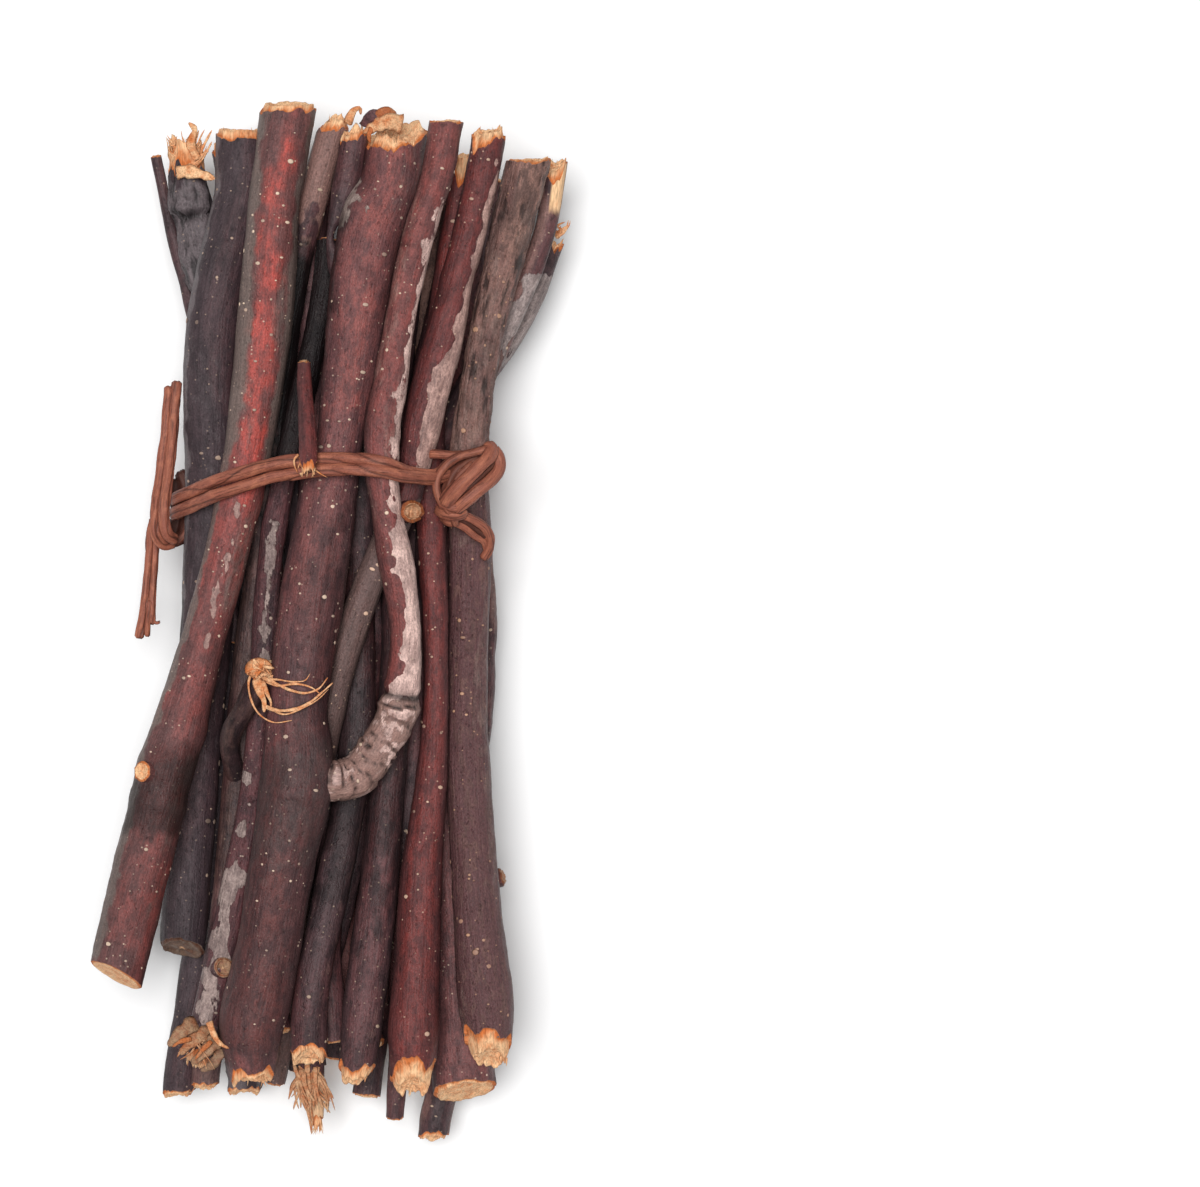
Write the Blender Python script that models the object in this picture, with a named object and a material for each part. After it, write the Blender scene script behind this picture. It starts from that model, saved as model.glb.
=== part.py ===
"""A tied bundle of cut fruitwood twigs, lying on its side.

+Y runs along the twigs towards their tips, +X is to the right as seen from above, and +Z is up.
The origin is on the surface that the bundle lies on, under the middle of its box. The sizes below
are in millimetres, and MM turns them into Blender's metres.

Each twig is a row of stations, read off the real bundle from above. How high it lies isn't seen
from above, so settle() works that out: it presses the twigs together round the waist, as the tie
does, until no two of them overlap.
"""

import math
from dataclasses import dataclass

import bmesh
import bpy
import numpy as np
from mathutils import Matrix, Vector

MM = 0.001

# The bundle
WAIST = 17.5  # how far along the tie goes round
TIE_ROOM = 2.4  # what the lowest twigs leave under them for the tie
TIE_ROOM_REACH = 22.0  # how far along the bundle that hollow underneath fades out

# How the twigs are settled
LEVEL_STEP = 2.0
LEVELS = np.arange(-66.0, 68.0, LEVEL_STEP)
CLEARANCE = 0.32  # between two twigs
BEND_ORDER = 6  # a twig bends no more sharply than a polynomial of this order
ROUNDS = 700
FREE_ROUNDS = 120  # at the end nothing is drawn back to its place
PULL_ACROSS = 0.06
PULL_UP = 0.025
PUSH = 0.42

# The solids
STATION_GAP = 9.6  # along a twig, between two rings of its tube
FINE_STATION_GAP = 6.6  # the same along a twig that shows from above
FORK_GAP = 0.3  # between a branch and the stem that it grows from
PLAIN_SIDES = 2  # a curve's bevel resolution, for 8 sides
ROUND_SIDES = 3  # for 10 sides

# The tie: a doubled strand of brown paper twine
STRAND = 0.78  # radius
STRAND_GAP = 0.32
BAND_SLACK = 0.2  # the straight runs between its rings cut the corners by this much
DRAPE_SLACK = 0.15
RING_POINTS = 44
BAND_SHIFTS = (0.0, -1.95)  # where its two strands go round
# How far across, and how far along the upper strand's middle is there
BAND_RISE = (
    (-20.0, -16.7, -13.1, -10.7, -6.0, -1.2, 6.0, 8.3, 12.0, 20.0),
    (15.2, 16.3, 17.6, 18.2, 19.5, 19.8, 19.9, 19.3, 18.9, 18.2),
)
# Its ends: name, the lowest that it may lie, whether it is a closed loop, and its stations
TIE_ENDS = (
    ("tie_left_fold", 19.0, False, (
        (28.8, -18.5, 1.0), (27.0, -18.7, 0.95), (24.6, -19.0, 0.8), (22.3, -19.4, 0.85),
        (18.7, -19.7, 1.0), (15.1, -19.8, 1.2), (12.7, -19.5, 1.5), (10.2, -19.3, 1.3))),
    ("tie_tail_down", 16.3, False, (
        (13.4, -21.2, 0.6), (11.0, -21.5, 0.7), (8.0, -21.6, 0.9), (3.2, -21.8, 1.05), (0.8, -22.0, 1.05),
        (-1.4, -22.3, 0.95))),
    ("tie_right_loop", 23.0, True, (
        (15.1, 13.2, 0.8), (18.7, 13.2, 0.8), (20.4, 15.0, 0.8), (20.7, 18.5, 0.8),
        (19.6, 20.4, 0.8), (18.0, 20.5, 0.8), (16.4, 18.6, 0.8), (15.2, 16.0, 0.8))),
    ("tie_knot", 19.0, False, ((13.6, 12.0, 1.0), (12.7, 13.2, 1.2), (11.8, 14.4, 1.2))),
    ("tie_right_tail", 15.0, False, (
        (12.6, 16.6, 0.9), (11.5, 19.0, 1.1), (9.8, 19.5, 1.0), (8.0, 18.2, 0.8))),
)

BARKS = {
    "red": (0.165, 0.060, 0.052),
    "maroon": (0.120, 0.055, 0.055),
    "dark": (0.060, 0.043, 0.045),
    "grey": (0.230, 0.175, 0.160),
    "rough": (0.130, 0.095, 0.080),
}
TWINE = (0.260, 0.110, 0.065)
ROUGHNESS = 0.55


@dataclass(frozen=True)
class Twig:
    """One twig. Its route goes from tip to foot: how far along, how far across, and its radius.
    Its lift is the height of its centre at the foot, at the waist and at the tip."""

    name: str
    bark: str
    lift: tuple
    route: tuple
    firm: float = 1.0
    sides: int = PLAIN_SIDES


# The twigs that show from above, front ones first
FRONT = (
    Twig("leaning_twig", "red", (25.0, 23.0, 21.0), sides=ROUND_SIDES, route=(
        (62.3, -5.5, 3.3), (50.8, -6.5, 3.0), (38.9, -7.1, 3.3), (27.0, -8.6, 3.0),
        (17.5, -10.4, 2.7), (8.0, -12.6, 2.5), (-1.5, -15.0, 2.6), (-8.7, -16.9, 3.0),
        (-18.0, -19.5, 3.3), (-30.1, -22.6, 3.3), (-40.5, -25.3, 3.5))),
    Twig("hooked_stem", "maroon", (23.5, 24.0, 22.0), sides=ROUND_SIDES, route=(
        (60.1, 8.0, 3.7), (50.8, 6.9, 3.5), (46.1, 4.3, 4.0), (41.3, 3.7, 3.7),
        (31.8, 2.5, 3.3), (22.3, 1.4, 2.7), (15.1, 0.1, 3.4), (0.8, -2.0, 3.7),
        (-12.0, -3.3, 3.7), (-18.2, -3.2, 4.3), (-25.0, -4.9, 3.9), (-32.5, -6.1, 3.7),
        (-44.4, -8.2, 3.8), (-49.5, -9.2, 3.6), (-53.6, -9.0, 2.3))),
    Twig("hooked_branch", "red", (24.0, 27.5, 24.5), sides=ROUND_SIDES, route=(
        (60.1, 13.9, 1.9), (55.6, 13.3, 1.8), (46.1, 10.4, 1.8), (36.5, 8.5, 1.8),
        (27.0, 7.0, 2.0), (22.3, 6.2, 2.0), (17.1, 6.5, 1.7), (12.7, 7.3, 1.9),
        (8.0, 8.1, 2.1), (-1.5, 9.3, 1.8), (-8.7, 8.4, 2.2), (-13.0, 6.6, 2.4),
        (-16.8, 3.6, 2.4))),
    Twig("hooked_stem_arm", "maroon", (23.0, 23.0, 23.0), route=(
        (59.8, 3.2, 1.8), (55.6, 2.5, 1.7), (50.8, 1.7, 1.5), (47.3, 1.2, 1.3))),
    Twig("peeling_twig", "red", (12.0, 22.5, 22.0), sides=ROUND_SIDES, route=(
        (59.6, 19.0, 2.0), (50.8, 17.3, 2.0), (41.3, 15.1, 2.0), (31.8, 13.0, 2.3),
        (27.0, 11.5, 2.4), (17.5, 9.5, 1.9), (8.0, 5.6, 1.8), (-1.5, 2.3, 1.8),
        (-15.8, -0.6, 1.8), (-32.5, -4.2, 1.7), (-54.5, -6.9, 1.3))),
    Twig("grey_twig", "grey", (21.3, 18.9, 17.0), route=(
        (46.7, -1.9, 1.5), (38.9, -2.5, 1.5), (22.3, -5.0, 1.5), (12.7, -6.9, 1.5),
        (-3.9, -8.1, 1.5), (-20.6, -9.5, 1.5), (-27.7, -10.6, 1.7), (-39.6, -13.1, 1.9),
        (-47.5, -14.9, 2.0), (-51.6, -15.9, 1.5))),
    Twig("red_right_twig", "red", (22.0, 19.5, 17.0), sides=ROUND_SIDES, route=(
        (57.0, 15.6, 1.4), (43.7, 13.9, 1.7), (27.0, 12.6, 1.7), (10.4, 12.5, 1.8),
        (-3.9, 12.6, 1.5), (-18.2, 11.9, 1.9), (-25.4, 11.0, 2.4), (-39.6, 10.2, 2.6),
        (-50.7, 9.7, 3.0), (-55.2, 9.6, 2.2))),
    Twig("rough_twig", "rough", (20.0, 17.5, 19.0), sides=ROUND_SIDES, route=(
        (55.8, 23.0, 2.6), (46.1, 21.4, 2.4), (38.9, 19.2, 2.1), (29.4, 16.9, 2.1),
        (22.3, 15.7, 2.3), (8.0, 16.0, 2.3), (-11.1, 16.2, 2.4), (-25.4, 16.8, 2.6),
        (-37.3, 17.5, 2.9), (-47.5, 18.6, 3.1), (-51.9, 19.0, 2.2))),
    Twig("dark_left_twig", "dark", (15.0, 16.5, 18.5), sides=ROUND_SIDES, route=(
        (59.9, -9.5, 3.1), (50.8, -11.1, 3.1), (43.7, -12.9, 3.1), (36.5, -13.8, 3.1),
        (27.0, -13.9, 3.1), (15.1, -14.0, 3.1), (-1.5, -15.0, 3.1), (-13.5, -15.5, 3.0),
        (-27.7, -15.8, 2.9), (-39.0, -16.7, 2.7))),
    Twig("dusky_twig", "dark", (13.0, 17.0, 21.0), route=(
        (61.0, 0.7, 1.8), (50.8, -1.8, 1.7), (31.8, -5.4, 1.7), (12.7, -8.1, 1.7),
        (-6.3, -10.7, 2.0), (-23.0, -12.4, 1.7), (-44.4, -14.8, 1.7), (-55.1, -15.6, 1.7))),
    Twig("middle_twig", "dark", (21.0, 17.5, 16.0), route=(
        (58.0, 11.9, 1.5), (38.9, 8.6, 1.5), (17.5, 6.0, 1.7), (-1.5, 6.9, 1.9),
        (-15.8, 6.9, 2.0), (-32.5, 5.5, 2.4), (-44.4, 3.8, 2.6), (-50.5, 3.2, 2.7),
        (-53.7, 2.9, 2.0))),
    Twig("inner_twig", "dark", (20.5, 18.5, 15.5), route=(
        (57.4, 6.9, 1.7), (31.8, 4.5, 1.7), (12.7, 4.5, 1.8), (-1.5, 3.7, 1.9),
        (-13.5, 2.6, 2.0), (-30.1, -0.2, 2.1), (-44.4, -2.4, 2.1), (-51.3, -2.6, 2.4))),
    Twig("split_twig", "rough", (8.0, 13.2, 15.0), route=(
        (56.5, 26.9, 1.4), (46.1, 24.8, 1.4), (38.9, 22.0, 1.4), (33.6, 19.2, 1.5), (30.0, 17.6, 1.5),
        (24.6, 16.3, 1.5), (17.5, 15.7, 1.5), (-11.1, 14.6, 1.8), (-39.6, 12.9, 1.9), (-61.7, 12.4, 1.9))),
    Twig("splayed_twig", "dark", (9.0, 12.6, 11.0), route=(
        (47.0, 26.5, 1.7), (44.9, 26.2, 1.7), (41.1, 24.4, 1.9), (37.1, 21.4, 1.9), (33.6, 18.6, 1.9),
        (30.0, 16.6, 1.9), (24.6, 14.4, 1.8), (12.7, 11.6, 1.8),
        (-15.8, 7.1, 1.8), (-44.4, 4.3, 1.7), (-56.3, 3.7, 1.7))),
    Twig("gnarled_twig", "dark", (8.0, 13.0, 14.0), route=(
        (59.2, -16.8, 2.4), (55.5, -16.8, 2.7), (50.6, -16.8, 2.6), (46.5, -16.1, 1.9), (36.5, -14.5, 1.7),
        (17.5, -11.7, 1.8), (-1.5, -10.0, 1.8), (-20.6, -10.1, 2.0), (-56.1, -11.0, 2.3))),
    Twig("thin_left_twig", "dark", (14.0, 12.5, 12.0), route=(
        (57.2, -21.5, 0.7), (44.9, -18.5, 0.7), (27.0, -14.8, 0.7), (-1.5, -11.2, 0.7))),
    Twig("lower_left_twig", "dark", (11.0, 11.5, 15.0), route=(
        (58.6, -13.6, 1.7), (38.9, -11.7, 1.9), (15.1, -11.7, 2.0), (-8.7, -13.2, 2.0),
        (-32.5, -15.6, 2.0), (-56.1, -18.8, 2.0))),
    Twig("broom_twig", "dark", (12.0, 13.5, 12.0), route=(
        (54.4, 16.7, 1.4), (17.5, 7.7, 1.7), (-20.6, 3.6, 1.5), (-44.4, 0.0, 1.5),
        (-54.5, -1.4, 1.6), (-60.6, -2.4, 0.6))),
    Twig("slim_twig", "dark", (13.0, 15.0, 12.0), route=(
        (52.6, 15.2, 1.2), (17.5, 11.3, 1.2), (-20.6, 8.9, 1.2), (-58.7, 7.3, 1.2))),
    Twig("stout_twig", "maroon", (14.0, 9.5, 8.0), sides=ROUND_SIDES, route=(
        (55.0, 17.9, 2.4), (38.9, 15.2, 2.7), (17.5, 13.1, 3.0), (-20.6, 14.3, 3.2),
        (-44.4, 15.2, 3.6), (-55.4, 15.8, 3.7))),
)

# The twigs underneath, which show from the sides and from below: name, bark, lift at the foot,
# waist and tip, and (along, across, radius) at the tip, waist and foot
UNDERNEATH = (
    Twig("back_twig_1", "maroon", (3.2, 6.5, 6.0), (
        (51.0, -10.5, 2.2), (17.5, -8.5, 2.3), (-50.0, -5.5, 2.6)), 0.3),
    Twig("back_twig_2", "red", (5.5, 5.6, 2.8), (
        (54.0, -5.0, 2.3), (17.5, -4.0, 2.5), (-47.0, -11.0, 2.5)), 0.3),
    Twig("back_twig_3", "dark", (3.0, 5.6, 7.0), (
        (49.0, 3.0, 2.4), (17.5, 0.8, 2.6), (-52.0, 0.0, 2.8)), 0.3),
    Twig("back_twig_4", "maroon", (7.0, 5.6, 2.9), (
        (55.0, 9.0, 2.3), (17.5, 5.8, 2.4), (-49.0, 5.5, 2.4)), 0.3),
    Twig("back_twig_5", "rough", (2.8, 6.5, 8.0), (
        (52.0, 12.5, 2.2), (17.5, 9.8, 2.2), (-54.0, 11.0, 2.3)), 0.3),
    Twig("back_twig_6", "dark", (11.0, 10.5, 10.0), (
        (56.0, -3.0, 2.2), (17.5, -4.5, 2.2), (-53.0, -4.0, 2.4)), 0.3),
    Twig("back_twig_7", "red", (12.0, 10.5, 11.0), (
        (55.0, 3.5, 2.3), (17.5, 1.5, 2.3), (-50.0, 3.0, 2.3)), 0.3),
    Twig("back_twig_8", "dark", (9.0, 11.0, 12.0), (
        (50.0, 9.5, 2.0), (17.5, 7.5, 2.0), (-52.0, 7.5, 2.1)), 0.3),
    Twig("back_twig_9", "maroon", (15.5, 15.5, 15.5), (
        (54.0, -1.5, 1.9), (17.5, -2.5, 1.9), (-48.0, -5.5, 2.0)), 0.3),
    Twig("back_twig_10", "dark", (15.0, 14.8, 15.0), (
        (51.0, 4.5, 1.7), (17.5, 2.0, 1.7), (-49.0, -1.0, 1.8)), 0.3),
)
GROWN_TOGETHER = (("hooked_stem", "hooked_branch"), ("hooked_stem", "hooked_stem_arm"))


@dataclass(frozen=True)
class Fork:
    """How a branch grows on its stem: its foot goes on through these (along, across, radius)
    stations, and then to the stem's own middle at the level named root."""

    stem: str
    onward: tuple
    root: float
    radius: float


FORKS = {
    "hooked_branch": Fork("hooked_stem", ((-17.6, 2.0, 2.4),), -17.0, 2.3),
    "hooked_stem_arm": Fork("hooked_stem", (), 42.0, 1.3),
}
# A short broken twig that lies loose in the groove beside the stem, over the tie
SPUR = Twig("spur_twig", "red", (), (
    (31.7, -2.7, 0.8), (27.0, -2.5, 1.0), (20.5, -2.0, 1.1), (18.2, -2.1, 0.9)))
SPUR_LOWEST = 26.5
# Which way the clean cut at a twig's foot faces: (across, along, up)
CUTS = {"leaning_twig": (-0.42, -0.87, 0.27), "stout_twig": (0.15, -0.93, 0.33)}
# Short side shoots, cut or broken off: name, the twig that it grows on, where along that twig, and
# its stations from that twig's middle: how far along, across and up from there, and its radius
STUBS = (
    ("cut_knob", "leaning_twig", -17.2, ((0.0, 0.0, 0.0, 1.4), (0.4, -2.4, 3.0, 1.2))),
    ("foot_knob", "grey_twig", -40.6, ((0.0, 0.0, 0.0, 1.4), (0.5, 0.9, 2.3, 1.2))),
    ("broken_shoot", "dusky_twig", -19.0, (
        (0.0, 0.0, 0.0, 1.2), (6.0, -0.6, 3.6, 1.3), (10.0, 0.7, 6.3, 1.4), (14.4, 3.0, 7.3, 1.35))),
    ("side_shoot", "stout_twig", -31.6, ((0.0, 0.0, 0.0, 1.5), (1.7, 5.8, 1.2, 1.1))),
)


def grown_on(layout, rows, rings, fork):
    """A branch's rings, with its foot turned on into the middle of its stem."""
    up = rings[-1, 2]
    stem = rows[fork.stem]
    middle = [at_level(layout, part, stem, fork.root) for part in (layout.across, layout.up)]
    ends = [(fork.root, *middle, fork.radius)]
    onward = [(place, side, (up + middle[1]) / 2, wide) for place, side, wide in fork.onward]
    return np.vstack((rings, *[np.array([station]) for station in onward + ends]))


def through(knots, values, wanted):
    """Values at the wanted places, on a smooth curve through the knots, straight beyond them."""
    knots, values, wanted = (np.asarray(part, float) for part in (knots, values, wanted))
    slopes = np.gradient(values, knots)
    at = np.clip(np.searchsorted(knots, wanted) - 1, 0, len(knots) - 2)
    span = knots[at + 1] - knots[at]
    t = np.clip((wanted - knots[at]) / span, 0.0, 1.0)
    smooth = (
        (1 + 2 * t) * (1 - t) ** 2 * values[at]
        + t * (1 - t) ** 2 * span * slopes[at]
        + t**2 * (3 - 2 * t) * values[at + 1]
        + t**2 * (t - 1) * span * slopes[at + 1]
    )
    before, after = np.minimum(wanted - knots[0], 0.0), np.maximum(wanted - knots[-1], 0.0)
    return smooth + before * slopes[0] + after * slopes[-1]


class Layout:
    """Where every twig lies: rows are twigs, columns are levels along the bundle."""

    def __init__(self, twigs):
        self.twigs = twigs
        shape = (len(twigs), len(LEVELS))
        self.across, self.up, self.radius = np.zeros(shape), np.zeros(shape), np.zeros(shape)
        self.there = np.zeros(shape, bool)
        for row, twig in enumerate(twigs):
            along, across, radius = np.array(sorted(twig.route)).T
            self.across[row] = through(along, across, LEVELS)
            self.radius[row] = through(along, radius, np.clip(LEVELS, along[0], along[-1]))
            waist = np.clip(WAIST, along[0] + LEVEL_STEP, along[-1] - LEVEL_STEP)
            self.up[row] = through((along[0], waist, along[-1]), twig.lift, LEVELS)
            self.there[row] = (LEVELS > along[0] - LEVEL_STEP) & (LEVELS < along[-1] + LEVEL_STEP)
        self.wanted_across, self.wanted_up = self.across.copy(), self.up.copy()
        self.firm = np.array([twig.firm for twig in twigs])[:, None]
        self.stiffen = [self.bending_of(row) for row in range(len(twigs))]
        self.meets = ~np.eye(len(twigs), dtype=bool)
        names = [twig.name for twig in twigs]
        for first, second in GROWN_TOGETHER:
            self.meets[names.index(first), names.index(second)] = False
            self.meets[names.index(second), names.index(first)] = False

    def bending_of(self, row):
        """The matrix that turns any offsets along a twig into ones that it can bend to."""
        here = LEVELS[self.there[row]]
        place = (here - here.mean()) / max(np.ptp(here) / 2, 1.0)
        basis = np.polynomial.legendre.legvander(place, min(BEND_ORDER, len(here) - 1))
        return basis @ np.linalg.pinv(basis)

    def floor(self):
        """How low a twig's underside may lie at each level: the tie needs room at the waist."""
        return TIE_ROOM * np.exp(-(((LEVELS - WAIST) / TIE_ROOM_REACH) ** 2))

    def slant(self):
        """How much wider a leaning twig's section is at a level than the twig is thick."""
        lean = np.gradient(self.across, LEVEL_STEP, axis=1) ** 2
        rise = np.gradient(self.up, LEVEL_STEP, axis=1) ** 2
        return np.sqrt(1 + lean + rise)

    def overlaps(self):
        """Pair by pair at each level, the way from one twig to the other and how far they overlap."""
        side = self.across[:, None] - self.across[None]
        rise = self.up[:, None] - self.up[None]
        apart = np.maximum(np.hypot(side, rise), 1e-6)
        wide = self.radius * self.slant()
        deep = wide[:, None] + wide[None] + CLEARANCE - apart
        both = self.there[:, None] & self.there[None] & self.meets[:, :, None]
        return side / apart, rise / apart, np.where(both, np.maximum(deep, 0.0), 0.0)

    def press(self, drawn):
        """One round: twigs that overlap push each other away, then each goes back to a shape that
        it can bend to and, while it is still drawn, a little towards its own place."""
        side, rise, deep = self.overlaps()
        self.across += PUSH * (side * deep).sum(1)
        self.up += PUSH * (rise * deep).sum(1)
        lowest = self.radius * self.slant() + self.floor()
        self.up = np.where(self.there, np.maximum(self.up, lowest), self.up)
        for row, bending in enumerate(self.stiffen):
            here = self.there[row]
            for place, wanted in ((self.across, self.wanted_across), (self.up, self.wanted_up)):
                place[row, here] = wanted[row, here] + bending @ (place[row, here] - wanted[row, here])
        if drawn:
            self.across += PULL_ACROSS * self.firm * (self.wanted_across - self.across)
            self.up += PULL_UP * (self.wanted_up - self.up)

    def settle(self):
        for turn in range(ROUNDS):
            self.press(turn < ROUNDS - FREE_ROUNDS)
        return self


def smooth_between(points, count):
    """The wanted number of points, evenly spread on a smooth curve through the given ones."""
    points = np.asarray(points, float)
    walked = np.r_[0.0, np.cumsum(np.linalg.norm(np.diff(points, axis=0), axis=1))]
    wanted = np.linspace(0.0, walked[-1], count)
    return np.column_stack([through(walked, column, wanted) for column in points.T])


def section_points(layout, row, level, margin):
    """Points (across, up) all round one twig at a level, this far outside its bark."""
    turn = np.linspace(0.0, 2 * np.pi, 48, endpoint=False)
    away = at_level(layout, layout.radius * layout.slant(), row, level) + margin
    across, up = at_level(layout, layout.across, row, level), at_level(layout, layout.up, row, level)
    return np.column_stack((across + away * np.cos(turn), up + away * np.sin(turn)))


def at_level(layout, values, row, level):
    """A twig's value anywhere along the bundle."""
    there = layout.there[row]
    return np.interp(level, LEVELS[there], values[row, there])


def hull_of(points):
    """The corners of the tight loop round some points in a plane, anticlockwise."""
    points = points[np.lexsort(points.T[::-1])]
    sides = []
    for run in (points, points[::-1]):
        side = []
        for point in run:
            while len(side) > 1 and np.cross(side[-1] - side[-2], point - side[-1]) <= 0:
                side.pop()
            side.append(point)
        sides += side[:-1]
    return np.array(sides)


def band_route(layout, shift):
    """The closed route of one strand of the tie, tight round the waist. It rises along the bundle
    over the middle, and drops at both sides."""
    margin = STRAND + STRAND_GAP + BAND_SLACK
    around = []
    for row in range(len(layout.twigs)):
        across = at_level(layout, layout.across, row, WAIST)
        level = np.interp(across, *BAND_RISE) + shift
        if LEVELS[layout.there[row]][0] < level - 4 and LEVELS[layout.there[row]][-1] > level + 4:
            around += [section_points(layout, row, level + step, margin) for step in (-0.9, 0.9)]
    corners = hull_of(np.vstack(around))
    corners = np.vstack((corners, corners[:1]))
    walked = np.r_[0.0, np.cumsum(np.linalg.norm(np.diff(corners, axis=0), axis=1))]
    wanted = np.linspace(0.0, walked[-1], RING_POINTS, endpoint=False)
    across, up = (np.interp(wanted, walked, corners[:, side]) for side in (0, 1))
    return np.column_stack((np.interp(across, *BAND_RISE) + shift, across, up))


def height_on_top(layout, strands, along, across, radius):
    """How high a round strand of this radius lies where it rests on the twigs and the bands."""
    best = 0.0
    for row in range(len(layout.twigs)):
        there = LEVELS[layout.there[row]]
        if there[0] - 1.0 < along < there[-1] + 1.0:
            wide = at_level(layout, layout.radius * layout.slant(), row, along)
            reach = wide + radius + STRAND_GAP
            off = across - at_level(layout, layout.across, row, along)
            if abs(off) < reach:
                best = max(best, at_level(layout, layout.up, row, along) + math.sqrt(reach**2 - off**2))
    for strand in strands:
        reach = STRAND + radius + STRAND_GAP
        dense = smooth_between(np.vstack((strand, strand[:1])), 4 * len(strand))
        off = np.hypot(dense[:, 0] - along, dense[:, 1] - across)
        near = off < reach
        if near.any():
            best = max(best, (dense[near, 2] + np.sqrt(reach**2 - off[near] ** 2)).max())
    return best


def draped(layout, strands, route, lowest, closed):
    """(along, across, radius) stations as (along, across, up, radius) ones, resting on the bundle."""
    if closed:
        route = (*route, route[0])
    stations = smooth_between(route, 2 * len(route) - 1)[: -1 if closed else None]
    heights = [max(lowest, height_on_top(layout, strands, *station) + DRAPE_SLACK) for station in stations]
    return np.column_stack((stations[:, :2], heights, stations[:, 2]))


def laid_on(layout, strands, route):
    """The stations of a stiff straight piece that rests on the bundle without bending to it."""
    stations = draped(layout, strands, route, SPUR_LOWEST, False)
    line = np.interp(stations[:, 0], *stations[[-1, 0]][:, [0, 2]].T)
    stations[:, 2] = line + max(0.0, (stations[:, 2] - line).max())
    return stations


def tube(name, stations, sides, closed=False):
    """A closed mesh round (along, across, up, radius) stations, as a bevelled curve makes it."""
    curve = bpy.data.curves.new(name, "CURVE")
    curve.dimensions = "3D"
    curve.bevel_depth = MM
    curve.bevel_resolution = sides
    curve.use_fill_caps = not closed
    curve.twist_mode = "MINIMUM"
    spline = curve.splines.new("POLY")
    spline.points.add(len(stations) - 1)
    spline.use_cyclic_u = closed
    for point, (along, across, up, radius) in zip(spline.points, stations):
        point.co = (across * MM, along * MM, up * MM, 1.0)
        point.radius = radius
    draft = bpy.data.objects.new(name, curve)
    bpy.context.scene.collection.objects.link(draft)
    graph = bpy.context.evaluated_depsgraph_get()
    mesh = bpy.data.meshes.new_from_object(draft.evaluated_get(graph))
    bpy.data.objects.remove(draft)
    bpy.data.curves.remove(curve)
    with_mesh(mesh, lambda work: bmesh.ops.remove_doubles(work, verts=work.verts, dist=0.001 * MM))
    return mesh


def with_mesh(mesh, change):
    """Changes a mesh by bmesh, and turns its faces outwards again."""
    work = bmesh.new()
    work.from_mesh(mesh)
    change(work)
    bmesh.ops.recalc_face_normals(work, faces=work.faces)
    work.to_mesh(mesh)
    work.free()


def cut_off(mesh, place, away):
    """Cuts a mesh clean through at (along, across, up), and drops what is on the away side."""

    def change(work):
        along, across, up = place
        bmesh.ops.bisect_plane(
            work, geom=work.verts[:] + work.edges[:] + work.faces[:], dist=0.001 * MM,
            plane_co=Vector((across, along, up)) * MM, plane_no=Vector(away).normalized(),
            clear_outer=True)
        bmesh.ops.holes_fill(work, edges=[edge for edge in work.edges if edge.is_boundary])

    with_mesh(mesh, change)


class Bundle:
    """The bundle's objects in Blender: its pieces, and the helpers that Booleans use."""

    def __init__(self):
        for thing in list(bpy.data.objects):
            bpy.data.objects.remove(thing)
        self.pieces = bpy.data.collections.new("twig_bundle")
        self.helpers = bpy.data.collections.new("helpers")
        for group in (self.pieces, self.helpers):
            bpy.context.scene.collection.children.link(group)

    def piece(self, name, mesh, color):
        made = bpy.data.objects.new(name, mesh)
        self.pieces.objects.link(made)
        material = bpy.data.materials.new(name)
        material.use_nodes = True
        shader = material.node_tree.nodes["Principled BSDF"]
        shader.inputs["Base Color"].default_value = (*color, 1.0)
        shader.inputs["Roughness"].default_value = ROUGHNESS
        mesh.materials.clear()
        mesh.materials.append(material)
        return made

    def helper(self, name, mesh):
        made = bpy.data.objects.new(name, mesh)
        made.hide_render = True
        made.display_type = "WIRE"
        self.helpers.objects.link(made)
        return made

    def join(self, piece, name, mesh):
        self.boolean(piece, "UNION", self.helper(name, mesh))

    def cut_from(self, piece, name, mesh):
        self.boolean(piece, "DIFFERENCE", self.helper(name, mesh))

    @staticmethod
    def boolean(piece, operation, other):
        modifier = piece.modifiers.new(other.name, "BOOLEAN")
        modifier.operation = operation
        modifier.solver = "EXACT"
        modifier.object = other

    def stand(self):
        """Moves everything so that the origin is under the middle of the bundle, on its lowest point."""
        graph = bpy.context.evaluated_depsgraph_get()
        graph.update()
        corners = []
        for piece in self.pieces.objects:
            shape = piece.evaluated_get(graph).to_mesh()
            corners += [tuple(vertex.co) for vertex in shape.vertices]
        corners = np.array(corners)
        low, high = corners.min(axis=0), corners.max(axis=0)
        move = Matrix.Translation((-(low[0] + high[0]) / 2, -(low[1] + high[1]) / 2, -low[2]))
        for piece in [*self.pieces.objects, *self.helpers.objects]:
            piece.data.transform(move)


def rings_of(layout, row):
    """A twig's (along, across, up, radius) as settled, from tip to foot, close enough together to
    follow its bends."""
    twig = layout.twigs[row]
    along = np.array(twig.route)[:, 0]
    gap = STATION_GAP if twig.sides == PLAIN_SIDES else FINE_STATION_GAP
    wanted = np.linspace(along[0], along[-1], max(4, math.ceil(np.ptp(along) / gap) + 1))
    here = layout.there[row]
    columns = (layout.across, layout.up, layout.radius)
    return np.column_stack((wanted, *(through(LEVELS[here], part[row, here], wanted) for part in columns)))


def lengthened(rings):
    """Rings that go 4 mm further at the foot, for a slanted cut to come off."""
    on = rings[-1] + (rings[-1] - rings[-2]) / np.linalg.norm((rings[-1] - rings[-2])[:3]) * 4.0
    return np.vstack((rings, [[*on[:3], rings[-1, 3]]]))


def stub_of(layout, row, level, stations):
    """The stations of a side shoot, from inside its twig outwards."""
    start = (level, at_level(layout, layout.across, row, level), at_level(layout, layout.up, row, level), 0.0)
    return smooth_between(np.array(stations) + start, 2 + len(stations))


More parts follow.
